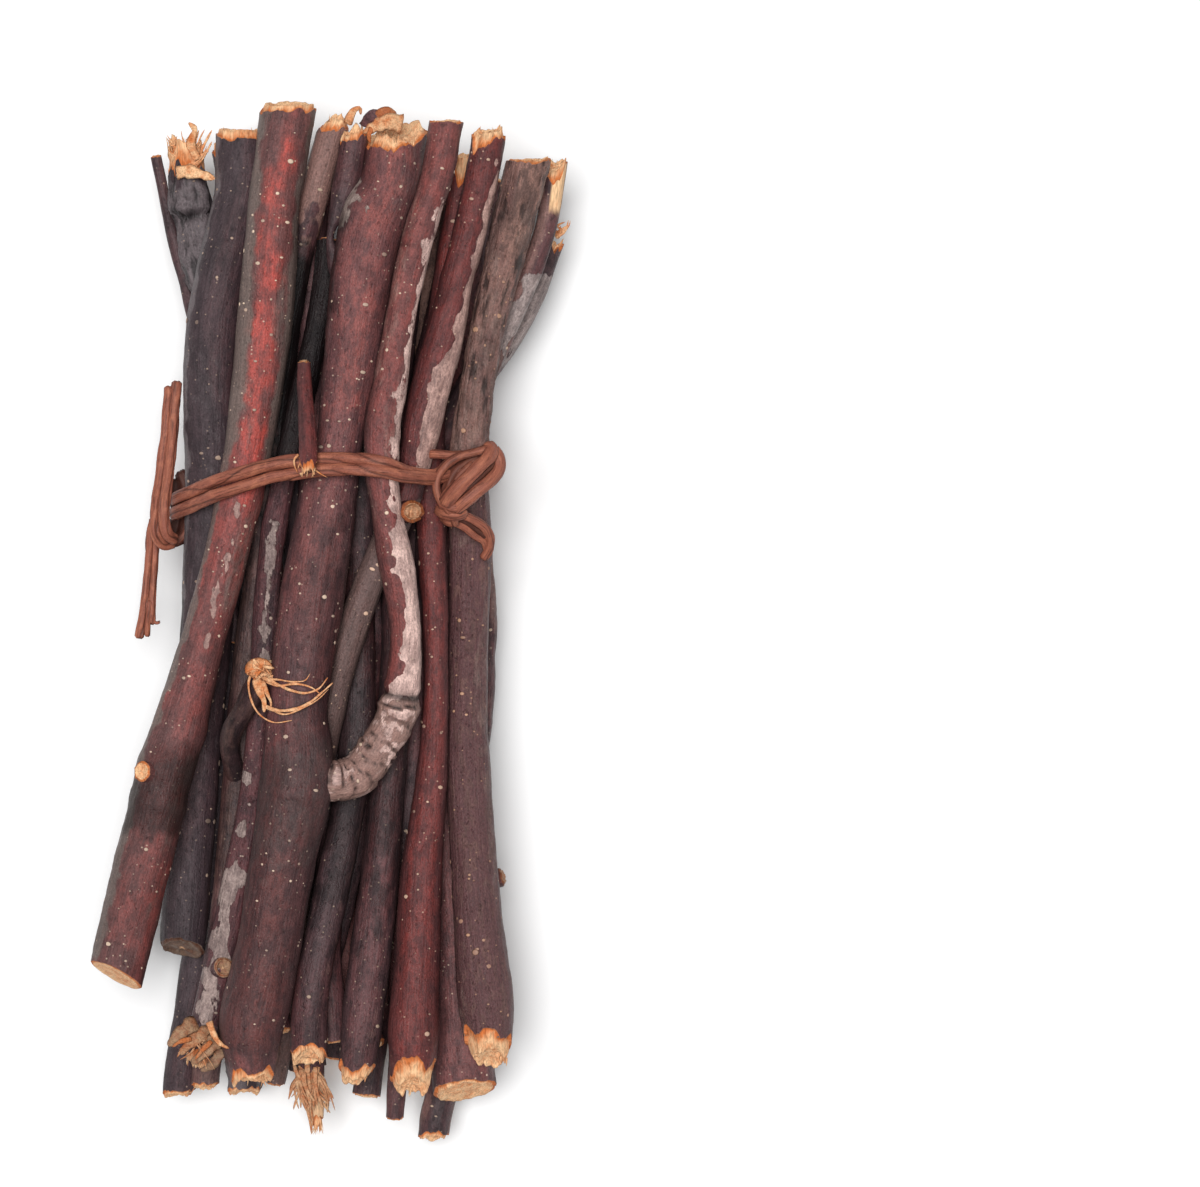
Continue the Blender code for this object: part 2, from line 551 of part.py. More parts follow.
def build():
    layout = Layout(FRONT + UNDERNEATH).settle()
    rows = {twig.name: row for row, twig in enumerate(layout.twigs)}
    bundle = Bundle()
    made = {}

    for name, row in rows.items():
        twig = layout.twigs[row]
        rings = rings_of(layout, row)
        if name in FORKS:
            rings = grown_on(layout, rows, rings, FORKS[name])
        if name in CUTS:
            rings = lengthened(rings)
        mesh = tube(name, rings, twig.sides)
        if name in CUTS:
            cut_off(mesh, rings_of(layout, row)[-1, :3], CUTS[name])
        made[name] = bundle.piece(name, mesh, BARKS[twig.bark])

    for name, fork in FORKS.items():
        stem = rings_of(layout, rows[fork.stem])
        stem[:, 3] += FORK_GAP
        sides = layout.twigs[rows[fork.stem]].sides
        bundle.cut_from(made[name], f"room_for_{name}", tube(fork.stem, stem, sides))

    for name, owner, level, stations in STUBS:
        bundle.join(made[owner], name, tube(name, stub_of(layout, rows[owner], level, stations), PLAIN_SIDES))

    strands = [band_route(layout, shift) for shift in BAND_SHIFTS]
    for name, strand in zip(("tie_band_upper", "tie_band_lower"), strands):
        rings = np.column_stack((strand, np.full(len(strand), STRAND)))
        bundle.piece(name, tube(name, rings, PLAIN_SIDES, closed=True), TWINE)
    for name, lowest, closed, route in TIE_ENDS:
        rings = draped(layout, strands, route, lowest, closed)
        bundle.piece(name, tube(name, rings, PLAIN_SIDES, closed=closed), TWINE)
    spur = tube(SPUR.name, laid_on(layout, strands, SPUR.route), PLAIN_SIDES)
    bundle.piece(SPUR.name, spur, BARKS[SPUR.bark])
    bundle.stand()


build()
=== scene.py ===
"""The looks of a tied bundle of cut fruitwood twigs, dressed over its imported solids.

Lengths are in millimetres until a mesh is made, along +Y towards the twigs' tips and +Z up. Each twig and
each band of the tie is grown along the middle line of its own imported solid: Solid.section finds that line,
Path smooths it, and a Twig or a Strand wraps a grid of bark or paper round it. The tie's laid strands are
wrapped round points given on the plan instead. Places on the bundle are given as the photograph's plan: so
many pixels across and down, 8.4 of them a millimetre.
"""

from __future__ import annotations

import itertools
import logging
import math
from dataclasses import dataclass, field, replace
from enum import Enum

import bpy
import numpy as np
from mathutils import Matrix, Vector
from numpy.typing import NDArray

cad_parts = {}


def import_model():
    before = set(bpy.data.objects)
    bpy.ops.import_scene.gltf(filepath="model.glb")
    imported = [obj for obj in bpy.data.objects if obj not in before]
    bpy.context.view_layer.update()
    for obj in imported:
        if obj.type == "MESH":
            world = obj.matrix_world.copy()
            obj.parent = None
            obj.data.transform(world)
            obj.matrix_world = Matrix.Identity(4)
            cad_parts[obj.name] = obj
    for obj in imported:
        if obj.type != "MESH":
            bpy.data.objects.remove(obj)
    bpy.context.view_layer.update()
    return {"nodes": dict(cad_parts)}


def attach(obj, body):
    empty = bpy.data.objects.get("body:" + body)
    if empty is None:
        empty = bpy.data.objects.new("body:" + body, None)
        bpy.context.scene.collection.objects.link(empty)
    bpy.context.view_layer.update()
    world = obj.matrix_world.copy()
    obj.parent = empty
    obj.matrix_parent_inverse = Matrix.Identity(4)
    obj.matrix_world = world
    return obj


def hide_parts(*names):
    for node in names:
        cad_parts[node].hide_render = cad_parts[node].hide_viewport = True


Array = NDArray[np.float64]
Tone = tuple[float, float, float]
Sockets = dict[str, bpy.types.NodeSocket]

LOG = logging.getLogger("twig_bundle")
MM = 0.001
PLAN_SCALE = 8.4  # plan pixels a millimetre
PLAN_ZERO = (330.0, 627.0)  # the plan pixel across and down that is x = 0 and y = 0
PLAN_FRAME = (1200.0, 1187.0)  # how many pixels the plan is across and down
FULL_TURN = 2.0 * np.pi
# what noise stirs a place and a seed with
AXIS_KEYS = (374761393, 668265263, 1103515245)
SEED_KEY, STIR_KEY, LOW_BITS = 144665, 1274126177, 0x7FFFFFFF


def across_of(pixel: float | Array) -> float | Array:
    """How far across a plan pixel is, in millimetres."""
    return (pixel - PLAN_ZERO[0]) / PLAN_SCALE


def along_of(pixel: float | Array) -> float | Array:
    """How far along the bundle a plan pixel is, in millimetres."""
    return (PLAN_ZERO[1] - pixel) / PLAN_SCALE


def places_of(plan: tuple[tuple[float, float, float], ...]) -> Array:
    """Plan pixels across and down with their heights above the floor, as places in millimetres."""
    across, down, height = np.array(plan).T
    return np.column_stack((across_of(across), along_of(down), height))


def tone(red: float, green: float, blue: float) -> Tone:
    """A screen colour, 0 to 255 a channel, as the linear one that materials take."""
    parts = (np.array((red, green, blue)) / 255.0 + 0.055) / 1.055
    return tuple(float(part) for part in parts**2.4)


def ease(values: Array) -> Array:
    """Values clipped to 0..1 with a smooth start and stop: three squares less two cubes."""
    values = np.clip(values, 0.0, 1.0)
    return values * values * (3.0 - 2.0 * values)


def noise(points: Array, seed: int) -> Array:
    """Smooth random values, about -1 to 1, over points in space.

    Each corner of the unit lattice has its own number, stirred from its place and the seed, and a
    point blends its cell's eight corners by the fifth-order ease.

    Args:
        points: Places, with x, y and z in the last axis.
        seed: Which random field this is.

    Returns:
        One value for each point.
    """
    base = np.floor(points).astype(np.int64)
    part = points - base
    part = part**3 * (part * (part * 6.0 - 15.0) + 10.0)
    total = np.zeros(points.shape[:-1])
    for corner in itertools.product((0, 1), repeat=3):
        key = base + np.array(corner)
        mixed = sum(key[..., axis] * number for axis, number in enumerate(AXIS_KEYS)) + seed * SEED_KEY
        mixed = mixed & LOW_BITS
        mixed = ((mixed ^ (mixed >> 13)) * STIR_KEY) & LOW_BITS
        value = ((mixed ^ (mixed >> 16)) & 0xFFFF) / 32767.5 - 1.0
        total += np.prod(np.where(corner, part, 1.0 - part), axis=-1) * value
    return total


def rough(points: Array, seed: int, octaves: int = 3) -> Array:
    """Noise on several scales: each octave is twice as fine and half as strong as the last."""
    return sum(noise(points * 2.0**turn, seed + 31 * turn) / 2.0**turn for turn in range(octaves))


def through(knots: Array, values: Array, wanted: Array) -> Array:
    """Values at the wanted places, on a smooth cubic through the knots, straight beyond them."""
    slopes = np.gradient(values, knots)
    at = np.clip(np.searchsorted(knots, wanted) - 1, 0, len(knots) - 2)
    span = knots[at + 1] - knots[at]
    share = np.clip((wanted - knots[at]) / span, 0.0, 1.0)
    left = 1 - share
    smooth = (
        (1 + 2 * share) * left**2 * values[at]
        + share * left**2 * span * slopes[at]
        + share**2 * (3 - 2 * share) * values[at + 1]
        - share**2 * left * span * slopes[at + 1]
    )
    before, after = np.minimum(wanted - knots[0], 0.0), np.maximum(wanted - knots[-1], 0.0)
    return smooth + before * slopes[0] + after * slopes[-1]


@dataclass(frozen=True)
class Section:
    """Where a plane cuts a solid: the middle of the cut, and its area."""

    middle: Array
    area: float


@dataclass(frozen=True)
class Solid:
    """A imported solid's triangles."""

    points: Array
    faces: NDArray[np.int64]

    SLIVER = 1e-6  # a cut counts where twice its area, in square millimetres, is at least this

    @classmethod
    def of(cls, node: bpy.types.Object) -> Solid:
        """Reads a CAD node's triangles, in millimetres.

        Args:
            node: The CAD node's object.

        Returns:
            Its points and faces.
        """
        mesh = node.data
        mesh.calc_loop_triangles()
        points = np.empty(len(mesh.vertices) * 3)
        mesh.vertices.foreach_get("co", points)
        faces = np.empty(len(mesh.loop_triangles) * 3, np.int64)
        mesh.loop_triangles.foreach_get("vertices", faces)
        world = np.array(node.matrix_world)
        points = points.reshape(-1, 3) @ world[:3, :3].T + world[:3, 3]
        return cls(points / MM, faces.reshape(-1, 3))

    def section(self, place: Array, normal: Array, ahead: Array | None = None) -> Section | None:
        """Cuts the solid with a plane.

        Each triangle that the plane crosses gives one edge of the cut face, and the face's area and
        middle are the sums of those edges' cross products.

        Args:
            place: A point on the plane.
            normal: The plane's unit normal.
            ahead: If given, only the half of the plane on this side of the place counts.

        Returns:
            The section, or None where the plane misses.
        """
        value = ((self.points - place) @ normal)[self.faces]
        crossed = (value.min(axis=1) < 0) & (value.max(axis=1) > 0)
        corners, value = self.faces[crossed], value[crossed]
        above = value > 0
        lone = np.where(above.sum(axis=1) == 1, above.argmax(axis=1), (~above).argmax(axis=1))
        order = (lone[:, None] + np.arange(3)) % 3
        corners = self.points[np.take_along_axis(corners, order, axis=1)] - place
        value = np.take_along_axis(value, order, axis=1)
        peak, left, right = corners[:, 0], corners[:, 1], corners[:, 2]
        start = peak + (left - peak) * (value[:, :1] / (value[:, :1] - value[:, 1:2]))
        stop = peak + (right - peak) * (value[:, :1] / (value[:, :1] - value[:, 2:]))
        turned = np.where(value[:, 0] < 0, -1.0, 1.0)
        if ahead is not None:
            keep = (start + stop) @ ahead > 0
            start, stop, turned = start[keep], stop[keep], turned[keep]
        swept = turned * (np.cross(start, stop) @ normal)
        if not len(swept) or abs(swept.sum()) < self.SLIVER:
            return None
        middle = ((start + stop) * swept[:, None]).sum(axis=0) / (3.0 * swept.sum())
        return Section(place + middle, abs(swept.sum()) / 2.0)


@dataclass(frozen=True)
class Path:
    """A smooth middle line with a radius: what a twig or a strand is wrapped round."""

    walked: Array
    middle: Array
    radius: Array
    closed: bool = False

    ROUNDNESS = 2.88  # a solid's eight- or ten-sided section is this times its radius squared
    THINNEST = 0.25  # a path's least radius, in millimetres
    END_THINNEST = 0.3  # a path's least radius at its ends, in millimetres
    FIRST_CUT = 2.2  # how far from its ends a solid is first cut, in millimetres
    HALF_PLANES = 60  # how many half-planes cut a ring
    OVERLAP = 3  # how many points of a closed path are repeated before its first

    @classmethod
    def through_points(cls, points: Array, radii: Array, closed: bool = False, step: float = 0.5) -> Path:
        """A path on a smooth curve through some points.

        Args:
            points: The points, in order.
            radii: The radius at each.
            closed: Whether it comes back to its first point.
            step: How far apart its own points are.

        Returns:
            The path.
        """
        if closed:
            before, after = slice(-cls.OVERLAP, None), slice(cls.OVERLAP + 1)
            points = np.vstack((points[before], points, points[after]))
            radii = np.concatenate((radii[before], radii, radii[after]))
        walked = np.r_[0.0, np.cumsum(np.linalg.norm(np.diff(points, axis=0), axis=1))]
        inner = cls.OVERLAP if closed else 0
        first, last = walked[inner], walked[-1 - inner]
        wanted = np.linspace(first, last, max(8, int((last - first) / step)) + 1)
        middle = np.column_stack([through(walked, column, wanted) for column in points.T])
        radius = np.maximum(through(walked, radii, wanted), cls.THINNEST)
        return cls(wanted - first, middle, radius, closed)

    @classmethod
    def along(cls, solid: Solid, gap: float, skip: tuple[tuple[float, float], ...] = ()) -> Path:
        """The middle line of a solid that runs along the bundle, from foot to tip.

        Args:
            solid: The solid.
            gap: How far apart the sections are that give the line.
            skip: Stretches along the bundle, low to high, where a side shoot spoils the sections.

        Returns:
            The path, as long as the solid is.
        """
        low, high = solid.points[:, 1].min(), solid.points[:, 1].max()
        margin = min(cls.FIRST_CUT, (high - low) / 5)
        levels = np.linspace(low + margin, high - margin, max(4, int((high - low) / gap)))
        levels = np.array(
            [level for level in levels if not any(first < level < last for first, last in skip)])
        cuts = [solid.section(np.array((0.0, level, 0.0)), np.array((0.0, 1.0, 0.0))) for level in levels]
        middle = np.array([cut.middle for cut in cuts])
        lean = np.gradient(middle[:, [0, 2]], levels, axis=0)
        upright = 1.0 / np.sqrt(1.0 + (lean**2).sum(axis=1))
        radius = np.sqrt(np.array([cut.area for cut in cuts]) * upright / cls.ROUNDNESS)
        ends = []
        for end, inner, level in ((0, 1, low), (-1, -2, high)):
            level += (1 if end == 0 else -1) * radius[end] * math.sqrt(max(0.0, 1 - upright[end] ** 2))
            share = (level - levels[end]) / (levels[end] - levels[inner])
            place = middle[end] + (middle[end] - middle[inner]) * share
            wide = radius[end] + (radius[end] - radius[inner]) * share
            ends.append((place, max(cls.END_THINNEST, wide)))
        middle = np.vstack((ends[0][0], middle, ends[1][0]))
        return cls.through_points(middle, np.r_[ends[0][1], radius, ends[1][1]])

    @classmethod
    def around(cls, solid: Solid) -> Path:
        """The middle line of a ring round the bundle, cut by half-planes that turn about its length.

        Args:
            solid: The ring.

        Returns:
            The closed path, with the middle one of the cuts' radii all the way.
        """
        centre = (solid.points.min(axis=0) + solid.points.max(axis=0)) / 2
        points, radii = [], []
        for turn in np.linspace(0.0, FULL_TURN, cls.HALF_PLANES, endpoint=False):
            ahead = np.array((math.cos(turn), 0.0, -math.sin(turn)))
            cut = solid.section(centre, np.cross((0.0, 1.0, 0.0), ahead), ahead)
            if cut is not None:
                points.append(cut.middle)
                radii.append(math.sqrt(cut.area / cls.ROUNDNESS))
        return cls.through_points(np.array(points), np.median(radii) * np.ones(len(radii)), closed=True)

    def extended(self, points: Array, radii: Array) -> Path:
        """The same path, every eighth point of it, led on from its first point to these, which come
        first afterwards."""
        keep = slice(None, None, 8)
        middle = np.vstack((points, self.middle[keep], self.middle[-1:]))
        return Path.through_points(middle, np.r_[radii, self.radius[keep], self.radius[-1:]])

    @property
    def length(self) -> float:
        """How long the path is."""
        return float(self.walked[-1])

    def at(self, values: Array, walked: Array) -> Array:
        """One of the path's columns of values at any places along it."""
        return np.interp(walked, self.walked, values)

    def frame(self, walked: Array) -> tuple[Array, Array, Array, Array]:
        """Where the path is, and which way it, its side and its top face.

        The side is square to the path and level, or for a closed path square to the direction that
        it goes round, and the top is square to both.

        Args:
            walked: Places along it.

        Returns:
            The middle, the direction, the side and the top at each.
        """
        ahead = np.gradient(self.middle, self.walked, axis=0)
        if self.closed:
            ahead[0] = ahead[-1] = (ahead[0] + ahead[-1]) / 2
        ahead /= np.linalg.norm(ahead, axis=1)[:, None]
        side = np.cross(ahead, self.axis() if self.closed else (0.0, 0.0, 1.0))
        side /= np.linalg.norm(side, axis=1)[:, None]
        top = np.cross(side, ahead)
        columns = (self.middle, ahead, side, top)
        return tuple(
            np.stack([self.at(values, walked) for values in part.T], axis=-1) for part in columns)

    def axis(self) -> Array:
        """The unit direction that a closed path goes round."""
        spokes = self.middle - self.middle[:-1].mean(axis=0)
        swept = np.cross(spokes[:-1], spokes[1:]).sum(axis=0)
        return swept / np.linalg.norm(swept)

    def wrapped(self, walked: Array, angle: Array, radius: Array) -> Array:
        """Points round the path: angle 0 is its side, and a quarter turn is its top."""
        middle, _, side, top = self.frame(walked)
        return middle + radius[..., None] * (np.cos(angle)[..., None] * side + np.sin(angle)[..., None] * top)


@dataclass
class Patchwork:
    """A mesh that is put together from grids and small closed islands, with its painted values.

    grain is where a point was on the twig before it bent: across, up and along, in millimetres.
    skin is how much bare wood, grey film and red flush shows, and spots is pore, grime and peeled paper, each
    0 to 1. On the bark, film also holds a painted rim highlight towards the flanks, flush holds painted light
    along the crest, and grime holds painted shade on the flanks, in furrows and cracks and on deep-lying
    twigs; on bare wood grime is its rust. On the twine, grime is painted shade and peeled paper a painted
    highlight.
    """

    points: list[Array] = field(default_factory=list)
    grain: list[Array] = field(default_factory=list)
    skin: list[Array] = field(default_factory=list)
    spots: list[Array] = field(default_factory=list)
    faces: list[NDArray[np.int64]] = field(default_factory=list)
    count: int = 0

    def add(self, points: Array, faces: NDArray[np.int64], grain: Array, skin: Array, spots: Array) -> None:
        """Adds points, the quads or triangles between them, and their painted values.

        Args:
            points: Places, in millimetres.
            faces: Corner numbers, counted from this patch's first point; a triangle repeats its last.
            grain: One straightened place for each point.
            skin: Wood, film and flush for each point, or one row for all; film and flush also hold painted
                light.
            spots: Pore, grime and peel for each point, or one row for all; grime also holds painted shade.
        """
        self.points.append(points)
        self.grain.append(np.broadcast_to(grain, points.shape))
        self.skin.append(np.broadcast_to(skin, points.shape))
        self.spots.append(np.broadcast_to(spots, points.shape))
        self.faces.append(faces + self.count)
        self.count += len(points)

    def mesh(self, name: str) -> bpy.types.Mesh:
        """Makes the mesh, in metres, with its painted values as attributes.

        Args:
            name: Its name.

        Returns:
            The mesh, smooth shaded.
        """
        faces = np.vstack(self.faces)
        quads = faces[faces[:, 2] != faces[:, 3]]
        triangles = faces[faces[:, 2] == faces[:, 3]][:, :3]
        made = bpy.data.meshes.new(name)
        made.vertices.add(self.count)
        made.vertices.foreach_set("co", (np.vstack(self.points) * MM).astype(np.float32).ravel())
        made.loops.add(quads.size + triangles.size)
        made.loops.foreach_set("vertex_index", np.r_[quads.ravel(), triangles.ravel()].astype(np.int32))
        made.polygons.add(len(quads) + len(triangles))
        starts = np.r_[np.arange(len(quads)) * 4, quads.size + np.arange(len(triangles)) * 3]
        made.polygons.foreach_set("loop_start", starts.astype(np.int32))
        made.polygons.foreach_set("use_smooth", np.ones(len(quads) + len(triangles), bool))
        made.update(calc_edges=True)
        for label, rows in (("grain", self.grain), ("skin", self.skin), ("spots", self.spots)):
            layer = made.attributes.new(label, "FLOAT_VECTOR", "POINT")
            layer.data.foreach_set("vector", np.vstack(rows).astype(np.float32).ravel())
        made.validate()
        return made


def wall_faces(rows: int, around: int, closed: bool = False) -> NDArray[np.int64]:
    """The outward quads of a grid that closes on itself around, and along as well if it is closed."""
    steps = np.arange(rows if closed else rows - 1)
    row, column = (part.ravel() for part in np.meshgrid(steps, np.arange(around), indexing="ij"))
    row, above, beside = row * around, (row + 1) % rows * around, (column + 1) % around
    return np.column_stack((row + column, above + column, above + beside, row + beside))


def tube_faces(rows: int, around: int) -> NDArray[np.int64]:
    """The quads of a tube of rows and columns that closes on itself around, with fans at both ends.

    The two poles are the points after the grid's last: first the foot's, and then the tip's.
    """
    ring, last = np.arange(around), (rows - 1) * around
    beside = (ring + 1) % around
    foot, tip = np.full(around, rows * around), np.full(around, rows * around + 1)
    at_foot = np.column_stack((ring, beside, foot, foot))
    at_tip = np.column_stack((last + beside, last + ring, tip, tip))
    return np.vstack((wall_faces(rows, around), at_foot, at_tip))


def spike_faces(rows: int, around: int, turned: bool = False) -> NDArray[np.int64]:
    """The faces of a thin closed tube of three or six corners: quads along it, and its two end rings
    filled; turned where its rows run against the path."""
    end = (rows - 1) * around
    if around == 3:
        caps = np.array(((0, 1, 2, 2), (end + 1, end, end + 2, end + 2)))
    else:
        cap = np.array(((0, 1, 2, 3), (0, 3, 4, 5)))
        caps = np.vstack((cap, end + cap[:, ::-1]))
    faces = np.vstack((wall_faces(rows, around), caps))
    if turned:
        flat = faces[:, 2:3] == faces[:, 3:]
        faces = np.where(flat, faces[:, [1, 0, 2, 3]], faces[:, ::-1])
    return faces


def repeated(faces: NDArray[np.int64], count: int, points: int) -> NDArray[np.int64]:
    """The same faces for each of some patches, which have so many points each."""
    return (faces[None] + points * np.arange(count)[:, None, None]).reshape(-1, 4)


class Kind(Enum):
    """What a painted strip shows: which painted value holds it, and that value's column."""

    WOOD = ("skin", 0)
    # grey film, and along some outlines a painted rim highlight
    FILM_AND_RIM_LIGHT = ("skin", 1)
    FLUSH = ("skin", 2)
    # grime, and painted shade on twigs that lie deep or in gaps
    GRIME_AND_SHADE = ("spots", 1)
    PEEL = ("spots", 2)


@dataclass(frozen=True)
class Strip:
    """A patch on a twig's upper side, drawn on the plan.

    Each station is a plan pixel down, and the strip's left and right edge there, from -1 at the
    twig's left outline to 1 at its right. ragged is how far the edges wander, and soft how gradual
    they are. under is how far down round the sides it goes on, and depth how far it is sunk, in
    millimetres.
    """

    kind: Kind
    stations: tuple[tuple[float, float, float], ...]
    ragged: float = 0.18
    soft: float = 0.12
    strength: float = 1.0
    under: float = -0.2
    depth: float = 0.0


@dataclass(frozen=True)
class Knuckle:
    """A swelling, or a dent if it is negative: its plan pixel down, how long and how high it is, in
    millimetres, which way it faces round the twig, in degrees, and how narrow it is: 0 goes all round."""

    down: float
    reach: float
    height: float
    facing: float = 90.0
    narrow: float = 0.0


@dataclass(frozen=True)
class EndCut:
    """How a twig ends, in millimetres.

    facing is the outward normal of the cut, across, along and up, or None for a square cut. sway is how much
    further the wood's rim stands out on one side than on another, teeth how jagged that rim is, hollow how
    deep the face is torn, skirt how far the wood stands out of its bark, fray how jagged the bark's edge is,
    and splinters how many fibres stand on the rim, of this reach. bevel is how much thinner the wood gets
    towards its rim, and bare how much the end takes the wood's colour rather than the bark's, from 0 to 1; at
    the dark left twig's foot a low bare is painted shade.
    """

    facing: tuple[float, float, float] | None = None
    sway: float = 0.1
    teeth: float = 0.12
    hollow: float = 0.25
    skirt: float = 0.12
    fray: float = 0.12
    splinters: int = 0
    reach: float = 1.0
    bevel: float = 0.05
    bare: float = 1.0


SAWN = EndCut()
BURIED = EndCut(sway=0.0, teeth=0.0, hollow=0.0, skirt=0.0, fray=0.0, bare=0.0)
SNAPPED = EndCut((0.0, -1.0, 0.15), 0.4, 0.3, 0.4, 0.3, 0.2, 3, 0.5, 0.1)
TORN_FOOT = EndCut((0.0, -1.0, 0.36), 1.2, 0.4, 0.9, 1.2, 0.15, 5, 0.7, 0.1)
TORN_TIP = EndCut((0.0, 1.0, 0.3), 1.1, 0.4, 0.9, 0.8, 0.3, 6, 0.9, 0.2)


@dataclass(frozen=True)
class Stub:
    """A side shoot, cut or broken off: where along the bundle it leaves its twig, and its stations from
    that twig's middle: how far along, across and up, and its radius, in millimetres. dark is how
    dark its bark is."""

    along: float
    stations: tuple[tuple[float, float, float, float], ...]
    end: EndCut = SAWN
    dark: float = 0.0


@dataclass(frozen=True)
class Fibre:
    """A torn fibre or a curl of bark: its plan pixels across and down with its height above the floor,
    its half width and half thickness at its root, how much it is bare wood rather than bark, and how
    rusty."""

    points: tuple[tuple[float, float, float], ...]
    width: float = 0.16
    thickness: float = 0.08
    wood: float = 1.0
    rust: float = 0.45


@dataclass(frozen=True)
class Grain:
    """How fine a twig's mesh is, and how its bark is shaped, in millimetres."""

    around: int = 64
    step: float = 0.36
    lumps: float = 0.14
    lines: float = 0.04
    furrows: float = 0.0
    wrinkles: float = 0.02


FINE = Grain()
COARSE = Grain(around=40, step=0.6)
HIDDEN = Grain(around=28, step=1.1)
FISSURED = Grain(around=72, lines=0.05, furrows=0.22)
GNARLED = Grain(around=56, step=0.4, lumps=0.42, lines=0.06, furrows=0.34)


@dataclass(frozen=True)
class BarkFinish:
    """The colours and the surface of one kind of bark."""

    name: str
    slot: str
    body: Tone
    shade: Tone
    flush_and_lit_crest: Tone
    film_and_rim_light: Tone
    peel: Tone
    pore: Tone
    mottle: float = 0.8
    roughness: float = 0.5
    relief: float = 0.6

    WOOD_ROUGHNESS = 0.85
    GLEAM = 0.3
    BUMP = 0.00016  # how deep the bump is, in metres

    def material(self, groups: dict[str, bpy.types.NodeTree]) -> bpy.types.Material:
        """Builds the bark's material.

        The bark's colour is mottled between body and shade, then the painted flush, film, peel, pores and
        grime go over it in turn, and bare wood over all. The flush also brings painted light along the crest,
        the film a painted rim highlight, and the grime painted shade on the flanks, in furrows and cracks,
        and on twigs that lie deep. Film and peeled bark have the crisp edges of flakes, because noise is
        added to what is painted before it is cut off.

        Args:
            groups: The shared node groups, by name.

        Returns:
            The material.
        """
        sheet = Sheet(self.name)
        grain = sheet.attribute("grain")
        skin, spots = sheet.split(sheet.attribute("skin")), sheet.split(sheet.attribute("spots"))
        bark = sheet.group(
            groups["bark mottle"], Grain=grain, Body=self.body, Shade=self.shade, Mottle=self.mottle)
        wood = sheet.group(groups["bare wood"], Grain=grain, Rust=spots[1])
        dust = sheet.group(groups["fine dust"], Grain=grain)
        film_and_rim_light = sheet.group(groups["flakes"], Grain=grain, Painted=skin[1], Crispness=0.35)
        peel = sheet.group(groups["flakes"], Grain=grain, Painted=spots[2], Crispness=0.9)
        streaked = sheet.weighed((bark["Streak"], 0.65), plus=0.35)
        # red flush, with painted light along the crest
        color = sheet.mix(bark["Color"], self.flush_and_lit_crest, sheet.times(skin[2], streaked))
        # grey film, with a painted rim highlight towards the flanks and along some outlines
        color = sheet.mix(color, self.film_and_rim_light, sheet.math("MULTIPLY", film_and_rim_light["Share"], 0.8))
        color = sheet.tinted(color, bark["Grit"])
        under = tuple(0.5 * first + 0.3 * second for first, second in zip(self.peel, self.body))
        pale = sheet.tinted(sheet.mix(self.peel, under, bark["Streak"]), bark["Grit"])
        color = sheet.mix(color, pale, peel["Share"])
        color = sheet.mix(color, self.pore, dust["Specks"])
        color = sheet.mix(color, self.pore, spots[0])
        # the colour that grime and painted shade darken the bark towards
        deep = tuple(0.12 * part for part in self.shade)
        color = sheet.mix(color, deep, sheet.times(spots[1], sheet.math("SUBTRACT", 1.0, skin[0])))
        color = sheet.mix(color, wood["Color"], skin[0])
        sheet.shader("Base Color", color)
        height = sheet.weighed((bark["Height"], 1.0), (peel["Share"], -0.8))
        sheet.bump(sheet.blend(height, wood["Height"], skin[0]), self.BUMP, self.relief)
        uneven = sheet.math("ADD", self.roughness, bark["Gloss"])
        sheet.shader("Roughness", sheet.blend(uneven, self.WOOD_ROUGHNESS, skin[0]))
        sheet.value("Specular IOR Level", self.GLEAM)
        return sheet.material


